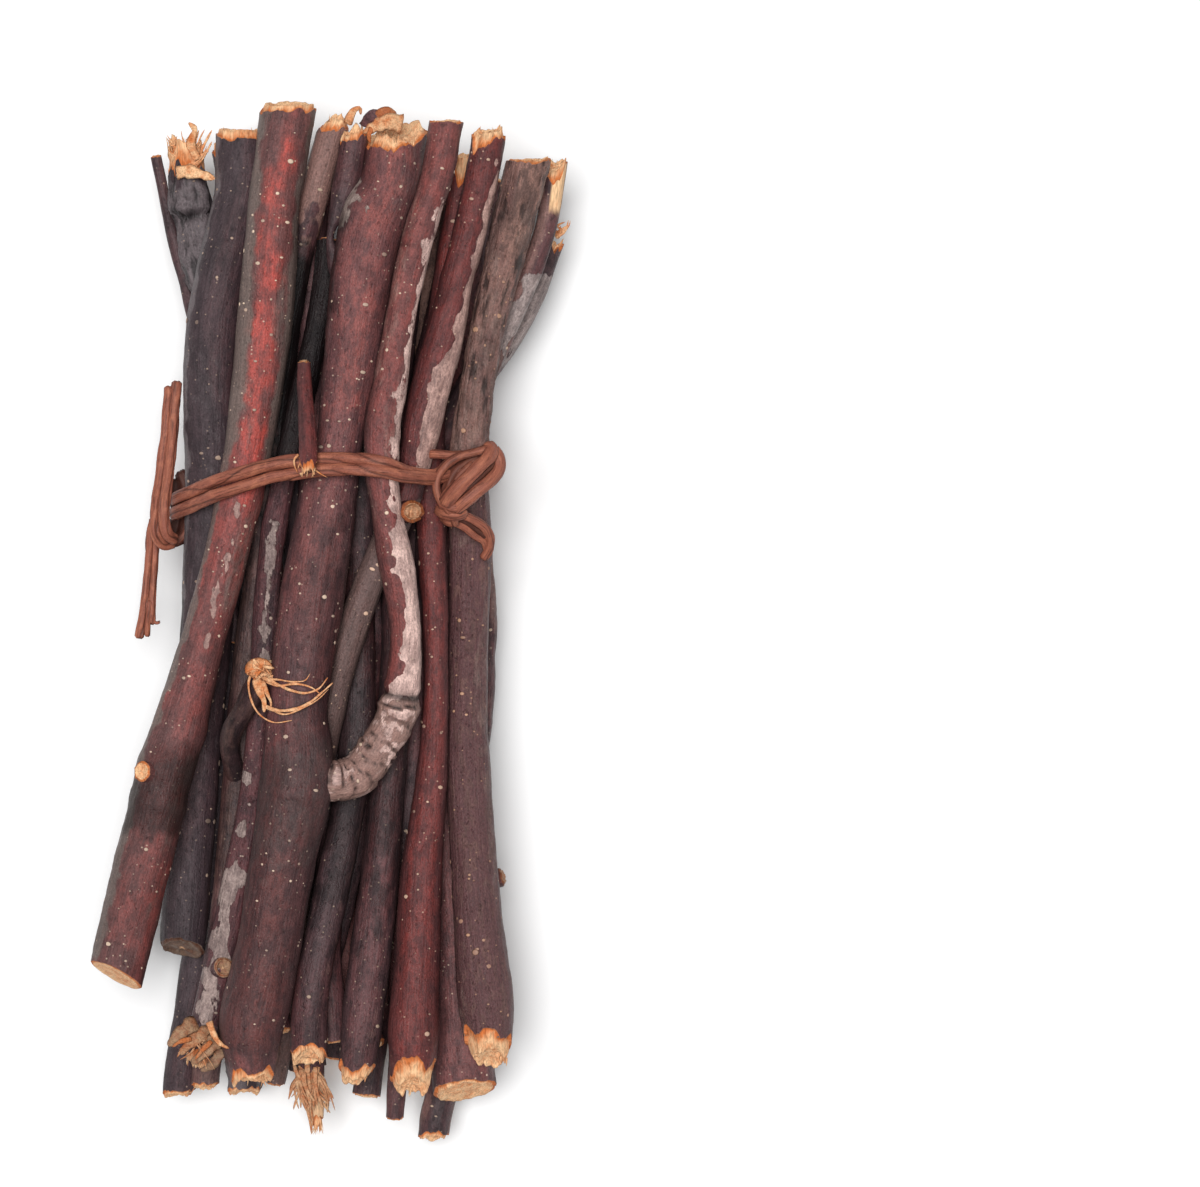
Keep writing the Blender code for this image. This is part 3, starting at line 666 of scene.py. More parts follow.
class Sheet:
    """A material's node sheet, with short ways to lay nodes on it."""

    def __init__(self, name: str) -> None:
        """Starts a material of this name with an empty Principled shader."""
        self.material = bpy.data.materials.new(name)
        self.material.use_nodes = True
        self.tree = self.material.node_tree
        self.surface = self.tree.nodes["Principled BSDF"]

    def attribute(self, name: str) -> bpy.types.NodeSocket:
        """The vector attribute of this name."""
        node = self.tree.nodes.new("ShaderNodeAttribute")
        node.attribute_name = name
        return node.outputs["Vector"]

    def split(self, vector: bpy.types.NodeSocket) -> list[bpy.types.NodeSocket]:
        """A vector's three numbers."""
        node = self.tree.nodes.new("ShaderNodeSeparateXYZ")
        self.tree.links.new(vector, node.inputs[0])
        return list(node.outputs)

    def feed(self, socket: bpy.types.NodeSocket, value: object) -> None:
        """Links a socket, or sets it to a number or a colour."""
        if isinstance(value, bpy.types.NodeSocket):
            self.tree.links.new(value, socket)
        elif isinstance(value, (int, float)):
            socket.default_value = value
        else:
            parts = tuple(value)
            socket.default_value = (*parts, 1.0) if socket.type == "RGBA" and len(parts) == 3 else parts

    def group(self, tree: bpy.types.NodeTree, **inputs: object) -> Sockets:
        """Places a shared node group, and gives its outputs by name."""
        node = self.tree.nodes.new("ShaderNodeGroup")
        node.node_tree = tree
        for name, value in inputs.items():
            self.feed(node.inputs[name], value)
        return {socket.name: socket for socket in node.outputs}

    def node(self, kind: str, settings: dict[str, object] | None = None, **inputs: object) -> bpy.types.Node:
        """Places a node, with its settings, and its inputs by name."""
        made = self.tree.nodes.new(kind)
        for name, value in (settings or {}).items():
            setattr(made, name, value)
        for name, value in inputs.items():
            self.feed(made.inputs[name.replace("_", " ")], value)
        return made

    def math(self, operation: str, *values: object, clamp: bool = False) -> bpy.types.NodeSocket:
        """The result of a Math node."""
        made = self.tree.nodes.new("ShaderNodeMath")
        made.operation = operation
        made.use_clamp = clamp
        for socket, value in zip(made.inputs, values):
            self.feed(socket, value)
        return made.outputs[0]

    def times(self, first: object, second: object) -> bpy.types.NodeSocket:
        """The product of two numbers, clipped to 0..1."""
        return self.math("MULTIPLY", first, second, clamp=True)

    def mix(self, under: object, over: object, share: object) -> bpy.types.NodeSocket:
        """One colour over another by a share."""
        made = self.tree.nodes.new("ShaderNodeMix")
        made.data_type = "RGBA"
        self.feed(made.inputs["Factor"], share)
        self.feed(made.inputs[6], under)
        self.feed(made.inputs[7], over)
        return made.outputs[2]

    def blend(self, under: object, over: object, share: object) -> bpy.types.NodeSocket:
        """One number over another by a share."""
        made = self.tree.nodes.new("ShaderNodeMix")
        self.feed(made.inputs["Factor"], share)
        self.feed(made.inputs[2], under)
        self.feed(made.inputs[3], over)
        return made.outputs[0]

    def tinted(self, color: object, by: object) -> bpy.types.NodeSocket:
        """A colour made brighter or darker by a number."""
        made = self.node("ShaderNodeVectorMath", {"operation": "SCALE"})
        self.feed(made.inputs[0], color)
        self.feed(made.inputs["Scale"], by)
        return made.outputs[0]

    def step(self, value: object, low: float, high: float) -> bpy.types.NodeSocket:
        """A number stretched so that low comes out as 0 and high as 1, clipped."""
        made = self.node("ShaderNodeMapRange", {"interpolation_type": "SMOOTHSTEP"})
        for name, number in (("Value", value), ("From Min", low), ("From Max", high)):
            self.feed(made.inputs[name], number)
        return made.outputs[0]

    def stretched(self, vector: object, scale: tuple[float, float, float]) -> bpy.types.NodeSocket:
        """A vector multiplied part by part."""
        made = self.node("ShaderNodeVectorMath", {"operation": "MULTIPLY"})
        self.feed(made.inputs[0], vector)
        made.inputs[1].default_value = scale
        return made.outputs[0]

    def cloud(
        self, vector: object, stretch: tuple[float, float, float], detail: float = 3.0, roughness: float = 0.6
    ) -> bpy.types.NodeSocket:
        """Blender's noise at a vector that is stretched first, 0 to 1."""
        place = self.stretched(vector, stretch)
        made = self.node("ShaderNodeTexNoise", Vector=place, Scale=1.0, Detail=detail, Roughness=roughness)
        return made.outputs["Fac"]

    def weighed(self, *parts: tuple[object, float], plus: float = 0.0) -> bpy.types.NodeSocket:
        """The sum of some numbers, each times its weight, and of one more number."""
        total = plus
        for number, weight in parts:
            total = self.math("MULTIPLY_ADD", number, weight, total)
        return total

    def bump(self, height: object, distance: float, strength: float) -> None:
        """Feeds the shader's normal from a height."""
        made = self.node("ShaderNodeBump", Height=height)
        made.inputs["Distance"].default_value = distance
        made.inputs["Strength"].default_value = strength
        self.tree.links.new(made.outputs[0], self.surface.inputs["Normal"])

    def shader(self, name: str, socket: bpy.types.NodeSocket) -> None:
        """Links one of the shader's sockets."""
        self.tree.links.new(socket, self.surface.inputs[name])

    def value(self, name: str, number: float) -> None:
        """Sets one of the shader's sockets."""
        self.surface.inputs[name].default_value = number


class GroupSheet(Sheet):
    """The inside of a shared node group."""

    def __init__(self, name: str, inputs: dict[str, str], outputs: dict[str, str]) -> None:
        """Starts a group with these sockets, each a name and its kind: Color, Float or Vector."""
        self.tree = bpy.data.node_groups.new(name, "ShaderNodeTree")
        for sockets, side in ((inputs, "INPUT"), (outputs, "OUTPUT")):
            for label, kind in sockets.items():
                self.tree.interface.new_socket(label, in_out=side, socket_type=f"NodeSocket{kind}")
        self.inside = self.tree.nodes.new("NodeGroupInput").outputs
        self.outside = self.tree.nodes.new("NodeGroupOutput").inputs

    def out(self, **values: object) -> bpy.types.NodeTree:
        """Feeds the group's outputs, and gives the finished group."""
        for name, value in values.items():
            self.feed(self.outside[name], value)
        return self.tree


class SharedEffects:
    """The node groups that several finishes use."""

    @staticmethod
    def bark_mottle() -> bpy.types.NodeTree:
        """Bark's colour: two tones in long uneven streaks and blots, with lines, grit and dark pits."""
        sheet = GroupSheet(
            "bark mottle",
            {"Grain": "Vector", "Body": "Color", "Shade": "Color", "Mottle": "Float"},
            {"Color": "Color", "Height": "Float", "Streak": "Float", "Gloss": "Float", "Grit": "Float"},
        )
        grain = sheet.inside["Grain"]
        broad = sheet.cloud(grain, (0.34, 0.34, 0.11), 3.0, 0.55)
        blots = sheet.cloud(grain, (1.0, 1.0, 0.5), 5.0, 0.65)
        lines = sheet.step(sheet.cloud(grain, (3.4, 3.4, 0.24)), 0.3, 0.7)
        grit = sheet.step(sheet.cloud(grain, (5.0, 5.0, 3.6), 3.0, 0.7), 0.3, 0.7)
        pits = sheet.step(sheet.cloud(grain, (2.3, 2.3, 1.5), 2.0, 0.5), 0.6, 0.72)
        amount = sheet.step(sheet.weighed((broad, 0.45), (blots, 0.55)), 0.42, 0.58)
        share = sheet.times(amount, sheet.inside["Mottle"])
        return sheet.out(
            Color=sheet.mix(sheet.inside["Body"], sheet.inside["Shade"], share),
            Height=sheet.weighed((lines, 0.35), (grit, 0.3), (pits, -0.5)),
            Streak=sheet.step(blots, 0.62, 0.4),
            Gloss=sheet.weighed((blots, 0.5), plus=-0.25),
            Grit=sheet.weighed((grit, 0.56), (lines, 0.3), (pits, -0.28), plus=0.6),
        )

    @staticmethod
    def bare_wood() -> bpy.types.NodeTree:
        """Torn and cut wood: pale fibres along the grain, rusty where Rust is painted."""
        sheet = GroupSheet(
            "bare wood", {"Grain": "Vector", "Rust": "Float"}, {"Color": "Color", "Height": "Float"})
        grain = sheet.inside["Grain"]
        fibre = sheet.cloud(grain, (5.0, 5.0, 0.6))
        stain = sheet.cloud(grain, (1.1, 1.1, 0.6))
        rust = sheet.weighed((sheet.inside["Rust"], 1.0), (stain, 1.6), plus=-0.8)
        color = sheet.mix(tone(246, 202, 156), tone(202, 114, 60), sheet.step(rust, -0.1, 0.9))
        shaded = sheet.weighed((sheet.step(fibre, 0.32, 0.62), 0.42), plus=0.66)
        return sheet.out(Color=sheet.tinted(color, shaded), Height=fibre)

    @staticmethod
    def fine_dust() -> bpy.types.NodeTree:
        """Tiny pale specks, strewn thicker in some places than in others."""
        sheet = GroupSheet("fine dust", {"Grain": "Vector"}, {"Specks": "Float"})
        grain = sheet.inside["Grain"]
        cells = sheet.node("ShaderNodeTexVoronoi", Vector=sheet.stretched(grain, (1.1, 1.1, 1.3)), Scale=1.0)
        spread = sheet.cloud(grain, (0.5, 0.5, 0.3), 3.0, 0.55)
        near = sheet.step(cells.outputs["Distance"], 0.17, 0.07)
        return sheet.out(Specks=sheet.times(sheet.times(near, sheet.step(spread, 0.45, 0.6)), 0.6))

    @staticmethod
    def flakes() -> bpy.types.NodeTree:
        """What a painted amount becomes when it flakes: noise is added, and the sum is cut off. A
        higher Crispness makes the cut-off sharper."""
        sheet = GroupSheet(
            "flakes", {"Grain": "Vector", "Painted": "Float", "Crispness": "Float"}, {"Share": "Float"})
        ragged = sheet.cloud(sheet.inside["Grain"], (1.3, 1.3, 0.55), 6.0, 0.68)
        over = sheet.weighed((sheet.inside["Painted"], 1.0), (ragged, 1.0), plus=-1.0)
        wide = sheet.math("SUBTRACT", 1.02, sheet.inside["Crispness"])
        share = sheet.math("MULTIPLY_ADD", sheet.math("DIVIDE", over, wide), 1.6, 0.4, clamp=True)
        return sheet.out(Share=sheet.times(share, sheet.step(sheet.inside["Painted"], 0.02, 0.15)))

    @classmethod
    def all(cls) -> dict[str, bpy.types.NodeTree]:
        """Every shared group by its name."""
        made = (cls.bark_mottle(), cls.bare_wood(), cls.fine_dust(), cls.flakes())
        return {tree.name: tree for tree in made}


@dataclass(frozen=True)
class TwineFinish:
    """The paper twine: its own brown; a darker brown for fine lines along it and for painted shade in its
    folds and under other strands; and a paler brown for random worn blots and a painted highlight on its fold
    ridges.
    """

    name: str = "paper twine"
    body: Tone = tone(142, 82, 65)
    crease: Tone = tone(58, 30, 24)
    paler: Tone = tone(186, 116, 88)
    roughness: float = 0.58
    gleam: float = 0.3
    bump: float = 0.0001
    relief: float = 0.4

    def material(self) -> bpy.types.Material:
        """Builds the twine's material: lines along the strand and pale blots, with painted shade where spots'
        second value is set and a painted highlight where its third is.

        Returns:
            The material.
        """
        sheet = Sheet(self.name)
        grain = sheet.attribute("grain")
        spots = sheet.split(sheet.attribute("spots"))
        lines = sheet.cloud(grain, (5.0, 5.0, 0.35))
        blots = sheet.cloud(grain, (1.2, 1.2, 0.6), 4.0, 0.65)
        grit = sheet.cloud(grain, (7.0, 7.0, 5.0), 3.0, 0.7)
        color = sheet.mix(self.body, self.crease, sheet.times(sheet.step(lines, 0.48, 0.68), 0.75))
        color = sheet.mix(color, self.paler, sheet.times(sheet.step(blots, 0.45, 0.7), 0.55))
        color = sheet.tinted(color, sheet.weighed((grit, 1.2), plus=0.4))
        # painted shade in the folds and under other strands
        color = sheet.mix(color, self.crease, spots[1])
        # painted highlight on the fold ridges
        color = sheet.mix(color, self.paler, spots[2])
        sheet.shader("Base Color", color)
        sheet.bump(sheet.math("ADD", lines, grit), self.bump, self.relief)
        sheet.value("Roughness", self.roughness)
        sheet.value("Specular IOR Level", self.gleam)
        return sheet.material


@dataclass(frozen=True)
class EndRows:
    """The rows of a twig's grid over one end, from the middle of the wood out to the bark: how far in
    along the path each point is, how far out it is, whether it is wood, and how rusty; and where the
    bark and the wood's rim stop."""

    along: Array
    inward: Array
    wood: Array
    rust: Array
    bark: Array
    rim: Array


@dataclass(frozen=True)
class Twig:
    """One twig: its node, its bark, its ends, and what shows on it.

    pores is how thickly they are strewn and pore_size how large they are, in millimetres. skip is the
    stretches along the bundle where a side shoot spoils the sections, and gap how far apart these are. film
    is how grey the bark is, greyer towards its flanks as a painted rim highlight. stripe is how strongly
    painted light lies red along its crest, and how much painted shade it adds to its flanks. smooth_from is
    the plan pixel below which its furrows fade. root is where a shoot goes on inside the twig that it grew
    on: across, along and up from its foot, and its radius, innermost first.
    """

    node: str
    bark: BarkFinish
    grain: Grain
    tip: EndCut = SAWN
    foot: EndCut = SAWN
    marks: tuple[Strip, ...] = ()
    knuckles: tuple[Knuckle, ...] = ()
    stubs: tuple[Stub, ...] = ()
    fibres: tuple[Fibre, ...] = ()
    pores: float = 1.0
    pore_size: float = 0.24
    skip: tuple[tuple[float, float], ...] = ()
    film_and_rim_light: float = 0.3
    gap: float = 5.0
    crest_lighting: float = 0.0
    smooth_from: float = 1e4
    root: tuple[tuple[float, float, float, float], ...] = ()

    FACE = (0.2, 0.42, 0.62, 0.8, 0.93)  # how far out the rings of points over an end's face are
    BARK_STEP = 0.224  # how far the wood of a torn end is inside the bark, in millimetres
    THINNEST = 0.2  # the surface's least radius, in millimetres
    PORES_A_SQUARE = 0.065  # how many pores a square millimetre has
    PORE_SIDES = 8
    SPIKE_ROWS, SPIKE_SIDES = 6, 3
    STUB_SIDES, STUB_STEP = 36, 0.25
    RIBBON = np.array((0.0, 0.3, 0.7, 1.0, 1.3, 1.7)) * np.pi  # the six corners of a flat fibre

    @property
    def seed(self) -> int:
        """A number of this twig's own, from its name."""
        return sum((place + 3) * ord(letter) for place, letter in enumerate(self.node)) % 9973

    def path(self, solid: Solid) -> Path:
        """The middle line that the twig grows along, led on through its root's stations."""
        path = Path.along(solid, self.gap, self.skip)
        if not self.root:
            return path
        rows = np.array(self.root)
        return path.extended(path.middle[0] + rows[:, :3], rows[:, 3])

    def build(self, solid: Solid) -> Patchwork:
        """Grows the twig, its pores, stubs, splinters and fibres.

        Args:
            solid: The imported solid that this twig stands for.

        Returns:
            The twig's surface.
        """
        path = self.path(solid)
        work = Patchwork()
        foot, tip = self.wrap(work, path)
        self.add_pores(work, path)
        self.add_splinters(work, path, foot, self.foot, 0)
        self.add_splinters(work, path, tip, self.tip, 1)
        for stub in self.stubs:
            self.add_stub(work, path, stub)
        for fibre in self.fibres:
            self.add_fibre(work, fibre)
        return work

    def wrap(self, work: Patchwork, path: Path) -> tuple[EndRows, EndRows]:
        """Wraps bark round a path, with wood at both ends.

        The grid's rows go from the foot's middle, over its torn rim and bark's edge, along the
        twig, and over the tip in the same way. A row's place along is between the two ends'
        ragged edges, so that neither edge is a plane.

        Args:
            work: The patchwork that it is added to.
            path: The middle line.

        Returns:
            The rows of the foot and of the tip.
        """
        around = self.grain.around
        angle = np.linspace(0.0, FULL_TURN, around, endpoint=False)
        foot, tip = self.end_rows(self.foot, angle, path, 0), self.end_rows(self.tip, angle, path, 1)
        rows = max(6, int(path.length / self.grain.step))
        share = np.linspace(0.0, 1.0, rows)[:, None]
        spread = foot.bark + (path.length - tip.bark - foot.bark) * share
        flat = np.ones((rows, around))
        walked = np.vstack((foot.along, spread, path.length - tip.along[::-1]))
        inward = np.vstack((foot.inward, flat, tip.inward[::-1]))
        wood = np.vstack((foot.wood, 0 * flat, tip.wood[::-1]))
        rust = np.vstack((foot.rust, 0 * flat, tip.rust[::-1]))
        turned = np.broadcast_to(angle, walked.shape)
        inside = np.clip(walked, 0.0, path.length)
        base = path.at(path.radius, inside)
        grain = np.stack((base * np.cos(turned), base * np.sin(turned), walked), axis=-1)
        relief, skin, spots, sunk = self.surface_of(path, grain, turned, inside, base)
        grain[..., :2] *= inward[..., None]
        edge = np.maximum(base + relief - sunk, self.THINNEST)
        core = np.minimum(edge, base - self.BARK_STEP)
        inner = np.zeros(walked.shape, bool)
        inner[:len(foot.wood) - 2], inner[len(walked) - len(tip.wood) + 2:] = True, True
        radius = np.where(inner, core, edge) * inward
        skin[..., 0] = np.maximum(skin[..., 0], wood)
        woody = inner[..., None] | (wood[..., None] > 0.3)
        spots = np.where(woody, np.stack((0 * rust, rust, 0 * rust), axis=-1), spots)
        points = self.placed(path, walked, turned, radius)
        poles = [points[0].mean(axis=0), points[-1].mean(axis=0)]
        work.add(
            np.vstack((points.reshape(-1, 3), poles)),
            tube_faces(len(walked), around),
            np.vstack((grain.reshape(-1, 3), (0, 0, 0), (0, 0, path.length))),
            np.vstack((skin.reshape(-1, 3), (1, 0, 0), (1, 0, 0))),
            np.vstack((spots.reshape(-1, 3), (0, 0.3, 0), (0, 0.3, 0))),
        )
        return foot, tip

    @staticmethod
    def placed(path: Path, walked: Array, angle: Array, radius: Array) -> Array:
        """Points round the path, led straight on past either end."""
        inside = np.clip(walked, 0.0, path.length)
        _, ahead, _, _ = path.frame(inside)
        return path.wrapped(inside, angle, radius) + (walked - inside)[..., None] * ahead

    def end_rows(self, cut: EndCut, angle: Array, path: Path, which: int) -> EndRows:
        """The grid's rows over one end.

        A point of the face is as far in as the cut's plane is there, plus the rim's sway and teeth
        near the rim, plus the torn hollow inside it, each of them noise on the place in the section.
        The wood then comes back along its own side to the bark's edge, which is as far from the rim
        as the skirt's noise says.

        Args:
            cut: How this end is cut or torn.
            angle: The grid's angles.
            path: The twig's path.
            which: 0 for the foot, 1 for the tip.

        Returns:
            The rows, measured inwards from this end of the path.
        """
        seed = self.seed + 500 * which
        last = 0 if which == 0 else -1
        radius = path.radius[last]
        _, ahead, side, top = (part[0] for part in path.frame(path.walked[[last]]))
        outward = ahead if which else -ahead
        normal = outward if cut.facing is None else np.array(cut.facing)
        spokes = np.cos(angle)[:, None] * side + np.sin(angle)[:, None] * top
        lean = (spokes @ normal) / (outward @ normal) * radius
        ring = np.stack((np.cos(angle), np.sin(angle), 0 * angle), axis=-1)
        torn = cut.sway * (0.5 + 0.7 * rough(ring * 0.9, seed, 2))
        torn = torn + cut.teeth * np.abs(rough(ring * 2.4, seed + 1, 3))
        face = np.array(self.FACE)[:, None]
        over = face[..., None] * ring * radius
        near = ease((face - 0.5) / 0.5)
        hollow = cut.hollow * (0.35 + 0.9 * np.abs(rough(over * 0.8, seed + 2, 2)))
        back = lean * face + torn * near + torn.mean() * (1 - near) + hollow * (1 - near**3)
        rim = lean + torn
        upright = max(abs(outward[1]), 0.3)
        furthest = (np.sign(outward[1]) * spokes[:, 1] * radius - rim * upright).max()
        least = (radius * math.sqrt(max(0.0, 1.0 - upright**2)) - furthest) / upright
        rim, back = rim - least, back - least
        skirt = cut.skirt * (0.3 + 0.9 * np.abs(0.6 + rough(ring * 1.1, seed + 3, 2)))
        bark = rim + skirt + cut.fray * np.abs(rough(ring * 4.2, seed + 4, 3)) + 0.03
        steps = max(2, int(cut.skirt / 0.3) + 2)
        part = np.linspace(0.0, 1.0, steps)[:, None]
        flank = rim + (bark - rim) * part
        lumps = 0.06 * min(cut.skirt, 1.0) * rough(np.stack((
            2.4 * ring[:, 0] + 0 * flank, 2.4 * ring[:, 1] + 0 * flank, flank), axis=-1), seed + 5, 3)
        along = np.vstack((back, flank, bark + 0.01, bark + 0.07))
        slope = 1.0 - 0.03 - cut.bevel * (1 - part) ** 1.5
        inward = np.vstack((face * slope[0] + 0 * back, slope + lumps,
                            np.full((1, len(angle)), 0.985), np.ones((1, len(angle)))))
        wood = cut.bare * np.vstack((np.ones((len(back) + steps, len(angle))), np.full((1, len(angle)), 0.8),
                                     np.zeros((1, len(angle)))))
        rust = np.vstack((0.36 - 0.16 * face + 0 * back, 0.26 + 0.6 * part**2 + 0 * flank,
                          np.full((2, len(angle)), 0.9)))
        return EndRows(along, inward, wood, rust, bark + 0.1, rim)

    def surface_of(
        self, path: Path, grain: Array, angle: Array, walked: Array, base: Array
    ) -> tuple[Array, Array, Array, Array]:
        """What the bark does at each point of the grid.

        Lumps are noise a few millimetres long, lines are noise drawn out along the twig, furrows
        are its ridged kind, and wrinkles run round it. Knuckles are bells along the twig times a
        cosine lobe round it.

        Args:
            path: The twig's path.
            grain: The straightened places.
            angle: The angle of each.
            walked: How far along the path each is.
            base: Not used; the radius there.

        Returns:
            The relief in millimetres, the painted skin and spots, and how far the surface is sunk.
        """
        shape, seed = self.grain, self.seed
        down = PLAN_ZERO[1] - PLAN_SCALE * path.at(path.middle[:, 1], walked)
        relief = shape.lumps * rough(grain * (0.26, 0.26, 0.17), seed, 3)
        relief += shape.lines * rough(grain * (2.2, 2.2, 0.16), seed + 2, 2)
        relief += shape.wrinkles * rough(grain * (0.6, 0.6, 2.2), seed + 3, 2)
        if shape.furrows:
            ridge = 1.0 - np.abs(rough(grain * (1.15, 1.15, 0.3), seed + 4, 3))
            ridge = ridge + (1.0 - ridge) * ease((down - self.smooth_from) / 90.0)
            relief += shape.furrows * (np.clip(ridge, 0, 1) ** 2 - 0.6)
        for knuckle in self.knuckles:
            bell = np.exp(-(((down - knuckle.down) / PLAN_SCALE / knuckle.reach) ** 2))
            facing = math.radians(knuckle.facing)
            lobe = 1.0 if not knuckle.narrow else np.clip(np.cos(angle - facing), 0, None) ** knuckle.narrow
            relief += knuckle.height * bell * lobe
        skin, spots = np.zeros((*walked.shape, 3)), np.zeros((*walked.shape, 3))
        flank = np.abs(np.cos(angle)) ** 2
        blotch = rough(grain * (0.3, 0.3, 0.07) + 3.3, seed + 5)
        # grey film in random blotches, with more of it towards the flanks as a painted rim highlight
        skin[..., 1] = self.film_and_rim_light * ease(0.35 + 0.45 * flank + 1.2 * blotch)
        skin[..., 2] = 0.45 * ease(0.35 + 1.4 * rough(grain * (0.25, 0.25, 0.06) + 7.7, seed + 6))
        # painted light: the red crest is painted on the upper side, which faces the lamp
        crest = ease((np.sin(angle) + 0.25 * rough(grain * (0.2, 0.2, 0.08), seed + 7) - 0.45) / 0.55)
        skin[..., 2] = np.maximum(skin[..., 2] * (1.0 - self.crest_lighting), self.crest_lighting * crest)
        # painted shade on every twig's flanks, stronger where the crest is painted lit
        spots[..., 1] = (0.24 + 0.16 * self.crest_lighting) * ease((0.62 - np.abs(np.sin(angle))) / 0.5)
        # painted shade in the bottoms of the furrows
        if shape.furrows:
            spots[..., 1] = np.maximum(spots[..., 1], 0.75 * ease((0.42 - ridge) / 0.3))
        sunk = np.zeros(walked.shape)
        for mark in self.marks:
            share = self.share_of(mark, grain, angle, down)
            layer, column = mark.kind.value
            target = skin if layer == "skin" else spots
            target[..., column] = np.maximum(target[..., column], share)
            sunk = np.maximum(sunk, mark.depth * share)
            if mark.kind is Kind.WOOD:
                spots *= (1.0 - share)[..., None]
        return relief, skin, spots, sunk

    def share_of(self, mark: Strip, grain: Array, angle: Array, down: Array) -> Array:
        """How much of a strip shows at each point, 0 to 1."""
        stations = np.array(mark.stations)
        wander = mark.ragged * rough(grain * (0.5, 0.5, 0.5) + 0.37 * len(mark.stations), self.seed + 11, 3)
        across = np.cos(angle)
        left = np.interp(down, stations[:, 0], stations[:, 1])
        right = np.interp(down, stations[:, 0], stations[:, 2])
        left, right = np.where(left <= -0.99, -3.0, left), np.where(right >= 0.99, 3.0, right)
        share = ease((across + wander - left) / mark.soft + 0.5)
        share *= ease((right - across + wander) / mark.soft + 0.5)
        share *= ease((np.sin(angle) - mark.under) / 0.3 + 0.5)
        ends = 5.0 + 20.0 * mark.soft
        share *= ease((down - stations[0, 0]) / ends + 0.5 + wander * 2)
        share *= ease((stations[-1, 0] - down) / ends + 0.5 + wander * 2)
        return mark.strength * share

    def add_pores(self, work: Patchwork, path: Path) -> None:
        """Sets small raised pores in the bark, each a low closed lens that lies across the twig.

        A lens is two rings of points between a sunk middle and a raised one, stretched round the twig
        and bent with it.

        Args:
            work: The twig's patchwork.
            path: Its path.
        """
        random = np.random.default_rng(self.seed)
        area = FULL_TURN * path.radius.mean() * path.length
        count = int(area * self.PORES_A_SQUARE * self.pores)
        if not count:
            return
        walked = random.uniform(2.5, path.length - 2.5, count)
        angle = random.uniform(0, FULL_TURN, count)
        size = self.pore_size * random.lognormal(-0.42, 0.42, count).clip(0.35, 1.3)
        base = path.at(path.radius, walked)
        wide, long = size * random.uniform(0.9, 1.5, count), size * random.uniform(0.7, 1.0, count)
        grain = np.stack((base * np.cos(angle), base * np.sin(angle), walked), axis=-1)
        relief, skin, spots, sunk = self.surface_of(path, grain, angle, walked, base)
        keep = (skin[:, 0] < 0.3) & (spots[:, 2] < 0.4) & (spots[:, 1] < 0.5)
        surface = base + relief - sunk
        turn = np.linspace(0.0, FULL_TURN, self.PORE_SIDES, endpoint=False)
        circle = np.stack((np.cos(turn), np.sin(turn), np.ones(self.PORE_SIDES)))
        rim, shoulder = circle * [[1.0], [1.0], [-0.06]], circle * [[0.62], [0.62], [0.3]]
        side, ahead, high = np.column_stack((rim, shoulder, (0.0, 0.0, -0.5), (0.0, 0.0, 0.42)))
        bent = angle[:, None] + side * (wide / surface)[:, None]
        reach = walked[:, None] + ahead * long[:, None]
        out = surface[:, None] + high * np.minimum(size, 0.5)[:, None] * 0.3
        points = path.wrapped(reach, bent, out)[keep]
        number, corners = points.shape[:2]
        glow = np.zeros(points.shape)
        glow[..., 0] = random.uniform(0.3, 1.0, count)[keep][:, None]
        work.add(
            points.reshape(-1, 3), repeated(tube_faces(2, self.PORE_SIDES), number, corners),
            np.repeat(grain[keep], corners, axis=0), (0, 0, 0), glow.reshape(-1, 3))

    def add_splinters(self, work: Patchwork, path: Path, end: EndRows, cut: EndCut, which: int) -> None:
        """Stands torn fibres on the rim of an end, each a thin closed spike that bends as it thins.

        A spike goes from a foot sunk in the wood almost to a point.

        Args:
            work: The twig's patchwork.
            path: Its path.
            end: The end's rows.
            cut: How the end is torn.
            which: 0 for the foot, 1 for the tip.
        """
        count = cut.splinters
        if not count:
            return
        random = np.random.default_rng(self.seed + 77 + which)
        angle = random.uniform(0, FULL_TURN, count)
        out = random.uniform(0.45, 0.93, count)
        reach = cut.reach * random.uniform(0.35, 1.0, count)
        thick = random.uniform(0.08, 0.24, count)
        rows = np.linspace(0.0, 1.0, self.SPIKE_ROWS)
        start = np.interp(angle, np.linspace(0, FULL_TURN, len(end.rim)), end.rim) + 0.6
        along = start[:, None] - rows[None] * np.minimum(start + 0.05, reach + 0.6)[:, None]
        radius = path.radius[0 if which == 0 else -1]
        lean = random.normal(0.0, 0.3, (2, count))[..., None] * rows**2 * reach[:, None]
        across = out[:, None] * radius * np.cos(angle)[:, None] + lean[0]
        up = out[:, None] * radius * np.sin(angle)[:, None] + lean[1]
        corner = np.linspace(0, FULL_TURN, self.SPIKE_SIDES, endpoint=False)
        width = thick[:, None, None] * (1.0 - rows[None, :, None] ** 1.5) + 0.01
        across = across[..., None] + width * np.cos(corner + 1.0)
        up = up[..., None] + width * np.sin(corner + 1.0) * 0.7
        walked = np.broadcast_to(along[..., None], across.shape)
        walked = walked if which == 0 else path.length - walked
        points = self.placed(path, walked, np.arctan2(up, across), np.hypot(across, up)).reshape(count, -1, 3)
        grain = np.stack((across, up, walked), axis=-1).reshape(count, -1, 3)
        spike = spike_faces(self.SPIKE_ROWS, self.SPIKE_SIDES, turned=which == 0)
        faces = repeated(spike, count, points.shape[1])
        work.add(points.reshape(-1, 3), faces, grain.reshape(-1, 3), (1, 0, 0), (0, 0.25, 0))

